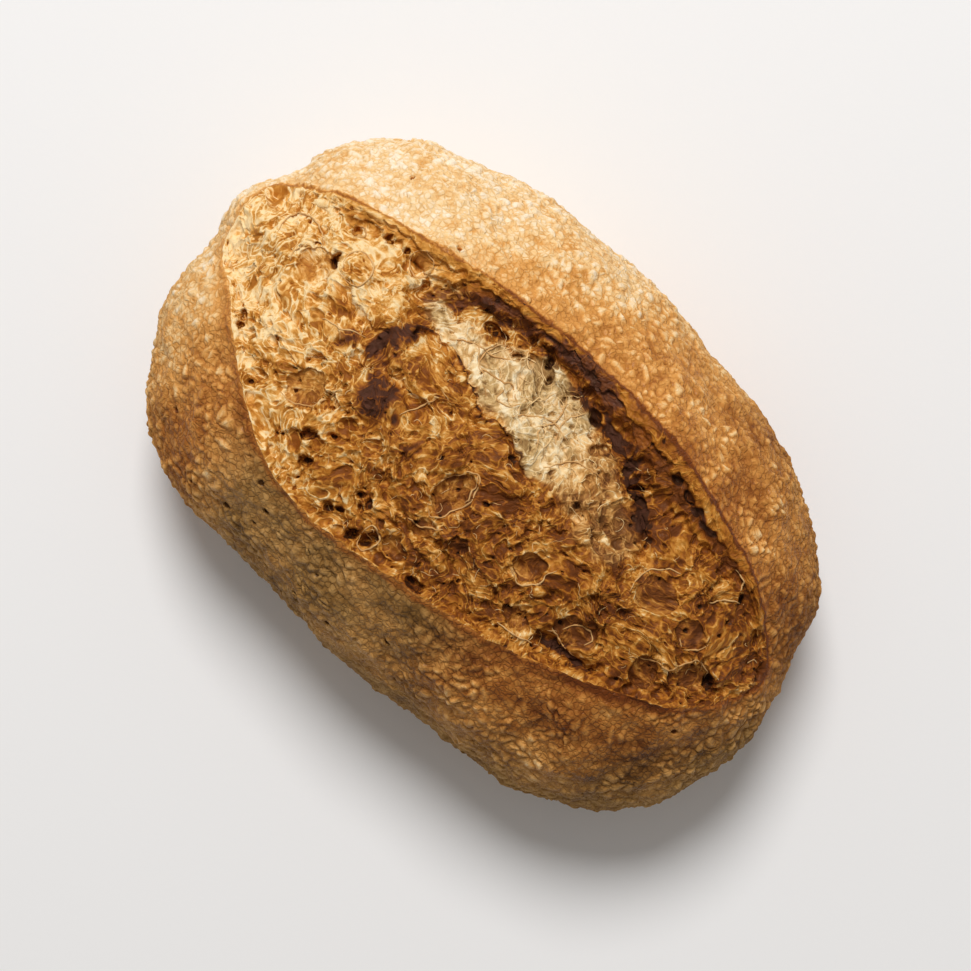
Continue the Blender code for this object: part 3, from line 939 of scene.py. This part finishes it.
def thread(way, radius, sides):
    """Points and faces of a tapered tube along a way, with a point at each end."""
    tangent = unit(np.gradient(way, axis=0))
    side = unit(np.cross(tangent, [0.0, 0.0, 1.0]))
    up = np.cross(side, tangent)
    angle = np.arange(sides) * 2 * np.pi / sides
    share = np.linspace(0, 1, len(way))[1:-1]
    thick = radius[1:-1] * (4 * share * (1 - share)) ** 0.4
    spokes = np.cos(angle)[:, None] * side[1:-1, None] + np.sin(angle)[:, None] * up[1:-1, None]
    rings = way[1:-1, None] + spokes * thick[:, None, None]
    points = np.concatenate([rings.reshape(-1, 3), way[:1], way[-1:]])
    count = len(rings) * sides
    faces = ring_faces(len(rings), sides)
    here = np.arange(sides)
    after = np.roll(here, -1)
    faces += [[count, int(a), int(b)] for a, b in zip(here, after)]
    last = count - sides
    faces += [[count + 1, last + int(b), last + int(a)] for a, b in zip(here, after)]
    return points, faces


def stray_threads(tries):
    """Short curved threads in plan: way, half thickness, how much it bridges dips, and tint.

    They are longer, thicker and paler in the pale rift, and fewer outside it.
    """
    rng = np.random.default_rng(THREAD_SEED)
    threads = []
    for _ in range(tries):
        turn = rng.uniform(0, 2 * np.pi)
        reach = 0.94 * np.sqrt(rng.uniform(0, 1)) * opening_reach(turn)
        start = np.array([np.cos(turn), np.sin(turn)]) * reach
        in_rift = depth_inside(start[0], start[1], PALE_RIFT) > 2
        if not in_rift and rng.uniform() < 0.45:
            continue
        length = rng.uniform(2.5, 12.0 if in_rift else 5.5)
        steps = max(6, round(length / THREAD_SPACING))
        turning = rng.normal(0, BENDING) / length
        headings = rng.normal(np.pi / 2, 0.8) + turning * np.linspace(0, length, steps)
        moves = np.stack([np.cos(headings), np.sin(headings)], axis=1) * length / steps
        way = start + np.cumsum(moves, axis=0)
        reach = opening_reach(np.arctan2(way[:, 1], way[:, 0]))
        if (np.hypot(*way.T) < np.where(way[:, 1] > 20, 0.8, 0.97) * reach).all():
            thick = rng.uniform(0.08, 0.24) if in_rift else rng.uniform(0.06, 0.15)
            bridge = rng.uniform(0.1, 0.7)
            tint = 1.0 if in_rift else rng.uniform(0.2, 0.9)
            threads.append((way, thick, bridge, tint))
    return threads


def make_strands(look, shape):
    """Rims of burst bubbles and stray gluten threads, as one mesh."""
    form = shape.form()
    rims = [smooth_way(rim, RIM_SPACING) for rim in RIMS]
    ways = [(rim, look.rim_radius / MM, 0.1, 0.45) for rim in rims]
    ways += stray_threads(look.strand_count)
    plans = np.concatenate([way for way, *_ in ways])
    plans = warped(warped(plans, 5.0, 0.5, 301), 1.8, 0.18, 303)
    surface = ragged(crumb_points(plans, look.fibre_height / MM))
    thickness = 1 + 0.5 * noise(plans, 2.0, 305)
    all_points, all_faces, tints, total, start = [], [], [], 0, 0
    for way, radius, bridge, tint in ways:
        end = start + len(way)
        path = surface[start:end].copy()
        share = np.linspace(0, 1, len(path))
        chord = path[0, 2] * (1 - share) + path[-1, 2] * share
        path[:, 2] += bridge * np.maximum(chord - path[:, 2], 0) + radius * 0.6
        path[[0, -1], 2] -= radius * 1.6
        points, faces = thread(path, radius * thickness[start:end], THREAD_SIDES)
        all_points.append(points)
        all_faces += [[corner + total for corner in face] for face in faces]
        tints.append(np.full(len(points), tint))
        total += len(points)
        start = end
    points = np.concatenate(all_points)
    flat = points[:, :2] - points[:, :2].min(axis=0)
    uv = MAP_MARGIN + 2 * MAP_HALF * flat / np.ptp(flat, axis=0)
    fields = {"tint": np.concatenate(tints)}
    material = strand_finish(look)
    new_piece("strands", in_frame(form, points), all_faces, None, fields, uv, material)


# Finishes


SHINE_TINT = (1.0, 0.85, 0.65, 1.0)  # keeps the browns from looking grey where they shine

# The tones at which each finish reaches its colours, from the darkest to the palest.
WARM_CRUST_TONES = [0.05, 0.25, 0.45, 0.63, 0.82, 1.05]
LOW_SHADED_CRUST_TONES = [0.05, 0.30, 0.55, 0.85, 1.05]
BAKED_CRUMB_TONES = [0.02, 0.15, 0.33, 0.52, 0.70, 0.86, 1.05]
MOIST_CRUMB_TONES = [0.02, 0.20, 0.40, 0.60, 0.80, 1.05]

# How far each bump stands out, in metres.
CRUST_BUMP = 0.0005
CRUMB_BUMP = 0.0008
THREAD_BUMP = 0.0002
FLOOR_BUMP = 0.0002

# The sockets of a Mix node that take a share and two colours, and its output for a colour.
MIX_SHARE, MIX_FIRST, MIX_SECOND = 0, 6, 7
MIX_COLOUR = 2


class Value:
    """A node's output, so that shader maths reads as Python: 1 - mask adds a Math node."""

    def __init__(self, finish, socket):
        self.finish = finish
        self.socket = socket

    def math(self, operation, *values, clamp=False):
        settings = {"operation": operation, "use_clamp": clamp}
        return self.finish.node("ShaderNodeMath", settings, dict(enumerate(values)))

    def __add__(self, other):
        return self.math("ADD", self, other)

    def __sub__(self, other):
        return self.math("SUBTRACT", self, other)

    def __rsub__(self, other):
        return self.math("SUBTRACT", other, self)

    def __mul__(self, other):
        return self.math("MULTIPLY", self, other)

    def clamped(self):
        return self.math("ADD", self, 0.0, clamp=True)

    def at_least(self, other):
        return self.math("MAXIMUM", self, other)

    def wave(self, count):
        """Waves from -1 to 1, so many as the value goes from 0 to 1."""
        return self.math("SINE", self * (2 * math.pi * count))

    def size(self):
        return self.math("ABSOLUTE", self)

    def step(self, low, high, way="SMOOTHSTEP"):
        """0 below low and 1 above high, with a smooth slope between."""
        sockets = {"Value": self, "From Min": low, "From Max": high}
        settings = {"interpolation_type": way}
        return self.finish.node("ShaderNodeMapRange", settings, sockets, "Result")

    def slope(self, low, high):
        return self.step(low, high, "LINEAR")

    __radd__ = __add__
    __rmul__ = __mul__


class Finish:
    """A Principled material, with one method that adds any other node to it."""

    def __init__(self, name, constants):
        self.material = bpy.data.materials.new(name)
        self.material.use_nodes = True
        self.tree = self.material.node_tree
        self.shader = self.tree.nodes["Principled BSDF"]
        for socket, value in constants.items():
            self.shader.inputs[socket].default_value = value
        metres = self.node("ShaderNodeTexCoord", {}, {}, "Object")
        self.place = self.stretched(metres, (1 / MM, 1 / MM, 1 / MM))

    def node(self, kind, settings, sockets, output=0):
        node = self.tree.nodes.new(kind)
        for setting, value in settings.items():
            setattr(node, setting, value)
        for key, value in sockets.items():
            self.put(node.inputs[key], value)
        return Value(self, node.outputs[output])

    def put(self, socket, value):
        if isinstance(value, Value):
            self.tree.links.new(value.socket, socket)
        else:
            socket.default_value = value

    def field(self, name):
        return self.node("ShaderNodeAttribute", {"attribute_name": name}, {}, "Fac")

    def stretched(self, place, shares):
        """A place with each of its parts multiplied by its share."""
        settings = {"operation": "MULTIPLY"}
        return self.node("ShaderNodeVectorMath", settings, {0: place, 1: shares}, "Vector")

    def crimped(self, wave, size, place=None):
        """A place in millimetres pushed about by noise of this wave."""
        place = place or self.place
        push = self.node("ShaderNodeTexNoise", {}, {"Vector": place, "Scale": 1 / wave}, "Color")
        sockets = {0: push, 1: (size, size, size), 2: place}
        return self.node("ShaderNodeVectorMath", {"operation": "MULTIPLY_ADD"}, sockets, "Vector")

    def noise(self, wave, detail=2.0, roughness=0.5, distortion=0.0, place=None):
        """Noise around 0.5 with bumps of this wave in millimetres."""
        sockets = {
            "Vector": place or self.place, "Scale": 1 / wave, "Detail": detail,
            "Roughness": roughness, "Distortion": distortion,
        }
        return self.node("ShaderNodeTexNoise", {}, sockets, "Fac")

    def ridges(self, wave, width, detail=1.0, distortion=0.0, place=None):
        """Thin lines, 1 along their middle, where noise of this wave passes its mean."""
        noise = self.noise(wave, detail, 0.5, distortion, place)
        return (1 - (noise - 0.5).size() * (1 / width)).clamped()

    def cells(self, wave, place=None, feature="F1", output="Distance"):
        """Cells of this size in millimetres: the distance in cells, or a random tint each."""
        sockets = {"Vector": place or self.place, "Scale": 1 / wave}
        return self.node("ShaderNodeTexVoronoi", {"feature": feature}, sockets, output)

    def blend(self, share, first, second):
        """Two colours mixed by a share from 0 to 1."""
        settings = {"data_type": "RGBA", "blend_type": "MIX", "clamp_factor": True}
        sockets = {MIX_SHARE: share, MIX_FIRST: first, MIX_SECOND: second}
        return self.node("ShaderNodeMix", settings, sockets, MIX_COLOUR)

    def ramp(self, tone, tones, colours):
        """The colour for a tone, from rising tones and the colours that they stand for."""
        colour = colours[0]
        for low, high, upper in zip(tones[:-1], tones[1:], colours[1:]):
            colour = self.blend(tone.slope(low, high), colour, upper)
        return colour

    def bump(self, height, distance, strength):
        sockets = {"Height": height, "Distance": distance, "Strength": strength}
        return self.node("ShaderNodeBump", {}, sockets, "Normal")

    def finish(self, colour, roughness, normal):
        self.put(self.shader.inputs["Base Color"], colour)
        self.put(self.shader.inputs["Roughness"], roughness)
        self.put(self.shader.inputs["Normal"], normal)
        return self.material


def crust_finish(look):
    """Baked crust: cream blisters on amber, browner at the edge, olive low down and away from the
    light, partly painted shade.

    One tone from 0 for dark brown to 1 for cream is summed from all that lightens or darkens it.
    """
    shine = {"Coat Roughness": 0.15, "Specular IOR Level": 0.12, "Specular Tint": SHINE_TINT}
    crust = Finish("crust", shine)
    names = ("blister", "edge", "height", "lit_side", "ear_side", "pore", "browned", "olive_and_shade")
    blister, edge, height, lit_side, ear_side, pore, browned, olive_and_shade = map(crust.field, names)
    patches = crust.noise(24.0, 3.0, 0.55) - 0.5
    mottle = crust.noise(5.5, 4.0, 0.62, 0.3) - 0.5
    fine = crust.noise(0.7, 3.0, 0.6) - 0.5
    bent = crust.crimped(2.4, 1.2)
    grain_tint = crust.cells(1.9, bent, output="Color") - 0.5
    grain = crust.cells(1.9, bent, "DISTANCE_TO_EDGE").step(0.01, 0.2)

    # The tone: paler on blisters, with a painted highlight on their centres, and paler on the side
    # towards the light, partly its paler bake and partly painted light; browner at the edge and in the
    # gaps.
    top = blister.step(0.15, 0.8)
    tone = 0.41 + 0.47 * lit_side + 0.8 * patches * (1 - 0.5 * lit_side) + 0.7 * mottle + 0.2 * fine
    # Paler blister tops and browner gaps, with a painted highlight on the blisters' centres.
    raised_and_highlight = 0.14 * top + 0.11 * blister.step(0.7, 1.0) - 0.17 * (1 - top)
    tone = tone + raised_and_highlight * (1 - 0.4 * lit_side) * (1 - 0.5 * olive_and_shade) - 0.2 * browned + 0.04 * olive_and_shade
    tone = tone + (0.10 + 0.2 * grain_tint) * grain * (1 - 0.4 * top)
    near = (1 - edge.step(1.0, 9.0)) * (1 - 0.6 * lit_side) * (1 - 0.6 * olive_and_shade)
    tone = tone - near * (0.04 + 0.9 * mottle + (1 - ear_side) * (0.13 + 1.8 * patches))
    wavy = edge + 3.0 * mottle
    tone = tone - (1 - wavy.step(0.2, 1.6)) * (0.6 * ear_side - 0.16) - 0.5 * pore.step(0.3, 0.9)
    rim = 1 - (edge + 4.0 * mottle).step(1.0, 3.0)
    tone = tone - 0.1 * rim * (1 - ear_side)
    olive_and_shade = olive_and_shade * (1 - 0.9 * rim)

    # Warm colours higher up; olive ones low down and away from the light, partly painted shade.
    baked = [look.dark, look.brown, look.amber, look.gold, look.straw, look.cream]
    warm = crust.ramp(tone, WARM_CRUST_TONES, baked)
    shaded = [look.low_dark, look.low_brown, look.low_olive, look.low_tan, look.low_pale]
    cool = crust.ramp(tone, LOW_SHADED_CRUST_TONES, shaded)
    colour = crust.blend((olive_and_shade * (1.1 - 1.6 * patches)).clamped(), warm, cool)

    roughness = 0.4 + 0.5 * mottle + 0.3 * fine + 0.4 * (1 - height.step(0.35, 0.85))
    relief = 0.5 * grain * (1 - 0.4 * top) + 0.15 * fine
    crust.put(crust.shader.inputs["Coat Weight"], look.gloss * height.step(0.5, 0.9))
    return crust.finish(colour, roughness, crust.bump(relief, CRUST_BUMP, 0.8))


def crumb_finish(look):
    """Torn crumb baked open: amber skin, cream rims and crests, pale in the rift, burnt in places, with
    painted shade in bubbles, hollows, holes and the dark tear.

    One tone from 0 for burnt to 1 for cream is summed from all that lightens or darkens the crumb.
    """
    crumb = Finish("crumb", {"Specular IOR Level": 0.18, "Specular Tint": SHINE_TINT})
    names = ("fibre", "fold", "skin", "bubble", "small_bubble", "bowl", "pit", "hollow", "burnt")
    fibre, fold, skin, bubble, small_bubble, bowl, pit, hollow, burnt = map(crumb.field, names)
    names = ("tear", "rift", "scarp", "flap", "wall", "shelf", "edge", "far", "ear_side")
    tear, rift, scarp, flap, wall, shelf, edge, far, ear_side = map(crumb.field, names)

    # Patterns that swirl with the dough.
    flow = crumb.node("ShaderNodeAttribute", {"attribute_name": "flow"}, {}, "Vector")
    curls = crumb.ridges(1.7, 0.05, 1.0, 1.0, crumb.crimped(2.0, 1.6, flow))
    threads = crumb.ridges(3.4, 0.02, 2.0, 0.6, flow)
    curled = crumb.crimped(2.2, 0.9, flow)
    whorls = crumb.noise(8.0, 0.5, 0.5, 0.0, curled).wave(9).step(0.1, 1.0)
    small_whorls = crumb.noise(3.6, 0.5, 0.5, 0.0, curled).wave(4).step(0.1, 1.0)
    swirling = crumb.crimped(3.4, 2.6, flow)
    net = 1 - crumb.cells(3.0, swirling, "DISTANCE_TO_EDGE").step(0.015, 0.07)
    membrane = crumb.cells(6.0, swirling, "DISTANCE_TO_EDGE")
    membrane_tint = crumb.cells(6.0, swirling, output="Color") - 0.5
    mottle = crumb.noise(9.0, 3.0, 0.55, 0.4, flow) - 0.5
    spots = crumb.noise(2.4, 3.0, 0.55, 0.5, flow) - 0.5
    lively = crumb.noise(10.0, 2.0).step(0.4, 0.6)
    broken = crumb.noise(4.0, 2.0).step(0.38, 0.55)
    fine = crumb.noise(0.5, 3.0, 0.6, 0.0, flow)

    # Lines: the outlines of bubbles, hollows and skins, the crests, and the strands of dough.
    outline = 1 - bubble.size().step(0.12, 0.5)
    outline = outline.at_least((1 - small_bubble.size().step(0.1, 0.38)) * 0.8)
    outline = (outline * broken).at_least((1 - skin.step(0.12, 0.4)) * broken * 0.8)
    outline = outline.at_least((1 - hollow.size().step(0.1, 0.5)) * (0.4 + 0.6 * broken))
    outline = outline.at_least((1 - membrane.step(0.01, 0.06)) * broken * lively)
    crest = (curls * (0.3 + 0.7 * lively)).at_least(threads).at_least(net * (1 - lively) * 0.7)
    strand = whorls * lively + small_whorls * (1 - lively)
    in_hollow = hollow.step(-0.2, 1.0)

    # The tone: paler at the near end, on strands and in the rift; darker in tears, and darker in
    # bubbles, hollows and holes partly as painted shade.
    tone = 0.81 - 0.385 * far + 1.3 * mottle + 0.8 * spots + 0.28 * membrane_tint
    tone = tone + (0.34 - 0.1 * far) * (strand - 0.35) * (1 - 0.5 * in_hollow)
    # Painted light and shade, with some real colour: paler on the fibres' crests and on folds, darker
    # in bubble bowls and hollows.
    tone = tone + 0.16 * (fibre - 0.35) + 0.1 * fold - 0.2 * bowl - 0.14 * in_hollow
    tone = tone + 0.12 * crest * (1 - 0.5 * in_hollow) + 0.30 * rift * far
    torn = 0.74 - 0.26 * far + 1.0 * mottle + 0.5 * spots - 0.22 * shelf * far
    tone = tone + wall * (torn - tone)
    lip = 1 - (edge + 2.0 * spots).step(0.1, 0.8)
    tone = tone + lip * (0.12 - 0.34 * ear_side)
    tone = tone.at_least(0.46 - 0.24 * far) + 0.2 * outline - 0.02
    ridge = scarp + 1.5 * spots
    tone = tone + 0.16 * (1 - (ridge - 1.4).size().step(0.2, 0.6)) - 0.3 * (1 - ridge.step(0.3, 0.8))
    # The dark tear is painted dark, partly its own darker colour and partly painted shade in its deep
    # furrow.
    tone = tone - (0.28 + 1.4 * spots) * (1 - (tear + 4.0 * spots).step(0.1, 1.7))
    scorch = burnt.step(0.1, 0.7) * (0.8 + 0.8 * spots)
    # Pits and holes are painted darker, as painted shade in them.
    tone = tone - 0.9 * scorch - 0.26 * flap * (0.9 + 1.5 * spots) - 0.3 * pit.step(0.2, 0.8)

    # Baked colours, moist ones in the rift, and purple-brown where the flap and the burns are.
    baked = [look.burnt, look.dark, look.brown, look.chestnut, look.gold, look.straw, look.pale]
    colour = crumb.ramp(tone, BAKED_CRUMB_TONES, baked)
    open_crumb = [look.moist_dark, look.moist_brown, look.moist_tan, look.moist_cream, look.moist_pale]
    moist = crumb.ramp(tone, MOIST_CRUMB_TONES, [look.burnt, *open_crumb])
    moist_share = (0.9 * rift * (0.95 - 2.2 * mottle)).clamped() * (1 - wall)
    colour = crumb.blend(moist_share.at_least(in_hollow * 0.1), colour, moist)
    purple = (scorch * 0.6).at_least(flap * (0.5 + 1.5 * spots)) * (1 - 0.6 * strand)
    colour = crumb.blend(purple.clamped(), colour, look.scorched)

    roughness = 0.38 + 0.25 * fine + 0.25 * burnt + 0.3 * (1 - tear.step(0.5, 3.0))
    relief = 0.12 * crest + 0.2 * outline + 0.5 * spots + 0.1 * fine + (0.14 + 0.16 * far) * strand
    relief = (relief - 0.5 * membrane.step(0.0, 0.3)) * (0.6 + 0.4 * far)
    return crumb.finish(colour, roughness, crumb.bump(relief, CRUMB_BUMP, 0.8))


def strand_finish(look):
    """Dried threads: cream where thick and thin-skinned, golden where they have baked."""
    strands = Finish("strands", {"Specular IOR Level": 0.12, "Specular Tint": SHINE_TINT})
    tint = strands.field("tint")
    fine = strands.noise(2.0, 3.0, 0.6)
    baked = strands.noise(16.0, 2.0, 0.5).step(0.4, 0.65)
    colour = strands.blend((tint * 0.7 + fine * 0.3).clamped(), look.thread_amber, look.thread_cream)
    colour = strands.blend(baked * (1 - tint), colour, look.thread_amber)
    return strands.finish(colour, 0.45 + 0.2 * fine, strands.bump(fine, THREAD_BUMP, 0.5))


def floor_finish(colour):
    """Plain and pale, with a hardly visible cloud."""
    plain = Finish("floor", {})
    cloud = plain.noise(160.0, 2.0)
    shaded = [0.97 * part for part in colour[:3]] + [1.0]
    tone = plain.blend(cloud * 0.04, colour, shaded)
    return plain.finish(tone, 0.8 + 0.05 * cloud, plain.bump(plain.noise(2.5), FLOOR_BUMP, 0.1))


# Settings in the sidebar


def colour_setting(name, description, default):
    return bpy.props.FloatVectorProperty(
        name=name, description=description, default=default, subtype="COLOR", size=4, min=0.0, max=1.0
    )


def number_setting(name, description, default, least=0.0, **kind):
    return bpy.props.FloatProperty(
        name=name, description=description, default=default, min=least, **kind
    )


def length_setting(name, description, default):
    return number_setting(name, description, default, unit="LENGTH")


def count_setting(name, description, default, least):
    return bpy.props.IntProperty(name=name, description=description, default=default, min=least)


class LoafShape(bpy.types.PropertyGroup):
    """How finely the loaf's surface is made."""

    crumb_along: count_setting("Crumb cells along", "Cells of the crumb's mesh along the loaf", 380, 20)
    crumb_across: count_setting("Crumb cells across", "Cells of the crumb's mesh across it", 232, 12)
    upper_rings: count_setting("Upper rings", "Rings of the crust over the widest line", 150, 4)
    lower_rings: count_setting("Lower rings", "Rings of the crust under the widest line", 64, 4)

    def form(self):
        counts = (self.crumb_along, self.crumb_across, self.upper_rings, self.lower_rings)
        return loaf_form(*(count // QUICK_COARSENESS for count in counts))


class CrustLook(bpy.types.PropertyGroup):
    """The crust's blisters and colours."""

    blister_size: length_setting("Blister spacing", "Distance between the larger blisters", 0.0037)
    blister_height: length_setting("Blister height", "Height of the largest blisters", 0.0011)
    gloss: number_setting("Gloss", "Share of the crust that shines", 0.06, max=1.0)
    dark: colour_setting("Dark", "Darkest baked crust", (0.16, 0.040, 0.008, 1.0))
    brown: colour_setting("Brown", "Brown between the blisters", (0.33, 0.105, 0.018, 1.0))
    amber: colour_setting("Amber", "Amber of the crust's mean", (0.53, 0.210, 0.042, 1.0))
    gold: colour_setting("Gold", "Golden blisters", (0.72, 0.335, 0.085, 1.0))
    straw: colour_setting("Straw", "Pale upper crust", (0.86, 0.570, 0.265, 1.0))
    cream: colour_setting("Cream", "Palest blisters", (0.93, 0.790, 0.600, 1.0))
    # Colours of the crust low down and away from the light, partly painted shade.
    low_dark: colour_setting("Low dark", "Darkest crust low down", (0.07, 0.030, 0.007, 1.0))
    low_brown: colour_setting("Low brown", "Brown crust low down", (0.24, 0.117, 0.030, 1.0))
    low_olive: colour_setting("Low olive", "Olive crust low down", (0.41, 0.226, 0.072, 1.0))
    low_tan: colour_setting("Low tan", "Tan blisters low down", (0.58, 0.355, 0.142, 1.0))
    low_pale: colour_setting("Low pale", "Palest blisters low down", (0.65, 0.495, 0.265, 1.0))


class CrumbLook(bpy.types.PropertyGroup):
    """The torn crumb's relief and colours."""

    fibre_height: length_setting("Fibre height", "Height of the crumb's fibres", 0.0005)
    rim_radius: length_setting("Rim radius", "Half the thickness of a burst bubble's rim", 0.0003)
    strand_count: count_setting("Strands", "Stray gluten threads that are tried", 380, 0)
    burnt: colour_setting("Burnt", "Burnt crumb", (0.045, 0.015, 0.006, 1.0))
    scorched: colour_setting("Scorched", "Purple-brown scorched flap", (0.115, 0.040, 0.024, 1.0))
    dark: colour_setting("Dark", "Dark brown crumb", (0.095, 0.025, 0.007, 1.0))
    brown: colour_setting("Brown", "Brown crumb", (0.24, 0.066, 0.008, 1.0))
    chestnut: colour_setting("Chestnut", "Red-brown crumb", (0.44, 0.156, 0.017, 1.0))
    gold: colour_setting("Gold", "Golden crumb", (0.64, 0.285, 0.052, 1.0))
    straw: colour_setting("Straw", "Pale crumb", (0.82, 0.495, 0.180, 1.0))
    pale: colour_setting("Pale", "Palest crests and rims", (0.93, 0.690, 0.370, 1.0))
    moist_dark: colour_setting("Moist dark", "Darkest open crumb", (0.15, 0.070, 0.022, 1.0))
    moist_brown: colour_setting("Moist brown", "Brown open crumb", (0.36, 0.205, 0.072, 1.0))
    moist_tan: colour_setting("Moist tan", "Tan open crumb", (0.62, 0.405, 0.170, 1.0))
    moist_cream: colour_setting("Moist cream", "Cream open crumb", (0.83, 0.620, 0.340, 1.0))
    moist_pale: colour_setting("Moist pale", "Palest open crumb", (0.93, 0.790, 0.540, 1.0))
    thread_cream: colour_setting("Thread cream", "Pale dried threads", (0.93, 0.67, 0.33, 1.0))
    thread_amber: colour_setting("Thread amber", "Threads that have browned", (0.50, 0.22, 0.05, 1.0))


class StageLook(bpy.types.PropertyGroup):
    """Floor, light and camera."""

    floor: colour_setting("Floor", "Pale plain floor", (0.88, 0.87, 0.865, 1.0))
    key_power: number_setting("Key light", "Power of the large soft light", 52.0, unit="POWER")
    fill: number_setting("Fill", "Strength of the light from all round", 0.29)
    camera_height: length_setting("Camera height", "Height of the camera over the base", 0.85)
    lens: number_setting("Lens", "Focal length in millimetres", 87.0, 1.0, unit="CAMERA")


class LOAF_OT_crust(bpy.types.Operator):
    """Make the three bands of crust"""

    bl_idname = "loaf.crust"
    bl_label = "Make Crust"

    def execute(self, context):
        make_crust(context.scene.crust_look, context.scene.loaf_shape)
        return {"FINISHED"}


class LOAF_OT_crumb(bpy.types.Operator):
    """Make the torn crumb in the split"""

    bl_idname = "loaf.crumb"
    bl_label = "Make Crumb"

    def execute(self, context):
        make_crumb(context.scene.crumb_look, context.scene.loaf_shape)
        return {"FINISHED"}


class LOAF_OT_strands(bpy.types.Operator):
    """Make the rims and threads that lie on the crumb"""

    bl_idname = "loaf.strands"
    bl_label = "Make Strands"

    def execute(self, context):
        make_strands(context.scene.crumb_look, context.scene.loaf_shape)
        return {"FINISHED"}


class LOAF_OT_stage(bpy.types.Operator):
    """Make the floor, the lights and the camera"""

    bl_idname = "loaf.stage"
    bl_label = "Make Stage"

    def execute(self, context):
        make_stage(context.scene.stage_look)
        return {"FINISHED"}


class LOAF_PT_panel(bpy.types.Panel):
    """The loaf's pieces and their settings"""

    bl_label = "Sourdough Loaf"
    bl_space_type = "VIEW_3D"
    bl_region_type = "UI"
    bl_category = "Loaf"

    def draw(self, context):
        for settings, operators in PANEL_ROWS.items():
            box = self.layout.box()
            group = getattr(context.scene, settings)
            for setting in group.__annotations__:
                box.prop(group, setting)
            for operator in operators:
                box.operator(operator)


PANEL_ROWS = {
    "loaf_shape": [],
    "crust_look": ["loaf.crust"],
    "crumb_look": ["loaf.crumb", "loaf.strands"],
    "stage_look": ["loaf.stage"],
}
SETTINGS = {
    "loaf_shape": LoafShape,
    "crust_look": CrustLook,
    "crumb_look": CrumbLook,
    "stage_look": StageLook,
}
CLASSES = [
    *SETTINGS.values(), LOAF_OT_crust, LOAF_OT_crumb, LOAF_OT_strands, LOAF_OT_stage, LOAF_PT_panel,
]


# Stage


FLOOR_HALF = 12.0
CAMERA_X = 0.00282
CAMERA_Y = -0.00612
CAMERA_TURN = math.radians(45)
CAMERA_NEAR = 0.01  # the camera sees nothing nearer than this
KEY_SIZE = 1.05
KEY_DISTANCE = 2.5
KEY_HEADING = math.radians(137)  # from +X towards +Y, where the light stands
KEY_ELEVATION = math.radians(56)
FILL_TINT = (1.0, 0.975, 0.94, 1.0)


def make_stage(look):
    signs = [(-1, -1), (1, -1), (1, 1), (-1, 1)]
    corners = [(FLOOR_HALF * across, FLOOR_HALF * along, 0) for across, along in signs]
    mesh = bpy.data.meshes.new("floor")
    mesh.from_pydata(corners, [], [(0, 1, 2, 3)])
    mesh.materials.append(floor_finish(list(look.floor)))
    floor = bpy.data.objects.new("floor", mesh)
    bpy.context.scene.collection.objects.link(floor)

    light = bpy.data.lights.new("key", "AREA")
    light.shape = "DISK"
    light.size = KEY_SIZE
    light.energy = look.key_power
    key = bpy.data.objects.new("key", light)
    level = math.cos(KEY_ELEVATION) * KEY_DISTANCE
    key.location = (
        math.cos(KEY_HEADING) * level, math.sin(KEY_HEADING) * level,
        math.sin(KEY_ELEVATION) * KEY_DISTANCE,
    )
    key.rotation_euler = (-key.location).to_track_quat("-Z", "Y").to_euler()
    bpy.context.scene.collection.objects.link(key)

    world = bpy.data.worlds.new("studio")
    world.use_nodes = True
    background = world.node_tree.nodes["Background"]
    background.inputs["Color"].default_value = FILL_TINT
    background.inputs["Strength"].default_value = look.fill
    bpy.context.scene.world = world

    lens = bpy.data.cameras.new("camera")
    lens.lens = look.lens
    lens.clip_start = CAMERA_NEAR
    camera = bpy.data.objects.new("camera", lens)
    camera.location = (CAMERA_X, CAMERA_Y, look.camera_height)
    camera.rotation_euler = (0.0, 0.0, CAMERA_TURN)
    bpy.context.scene.collection.objects.link(camera)
    bpy.context.scene.camera = camera
    bpy.context.scene.view_settings.view_transform = "Standard"


def register():
    for each in CLASSES:
        bpy.utils.register_class(each)
    for name, group in SETTINGS.items():
        setattr(bpy.types.Scene, name, bpy.props.PointerProperty(type=group))


def unregister():
    for name in SETTINGS:
        delattr(bpy.types.Scene, name)
    for each in reversed(CLASSES):
        bpy.utils.unregister_class(each)


def main():
    register()
    bpy.ops.loaf.stage()
    bpy.ops.loaf.crust()
    bpy.ops.loaf.crumb()
    bpy.ops.loaf.strands()


if __name__ == "__main__":
    main()
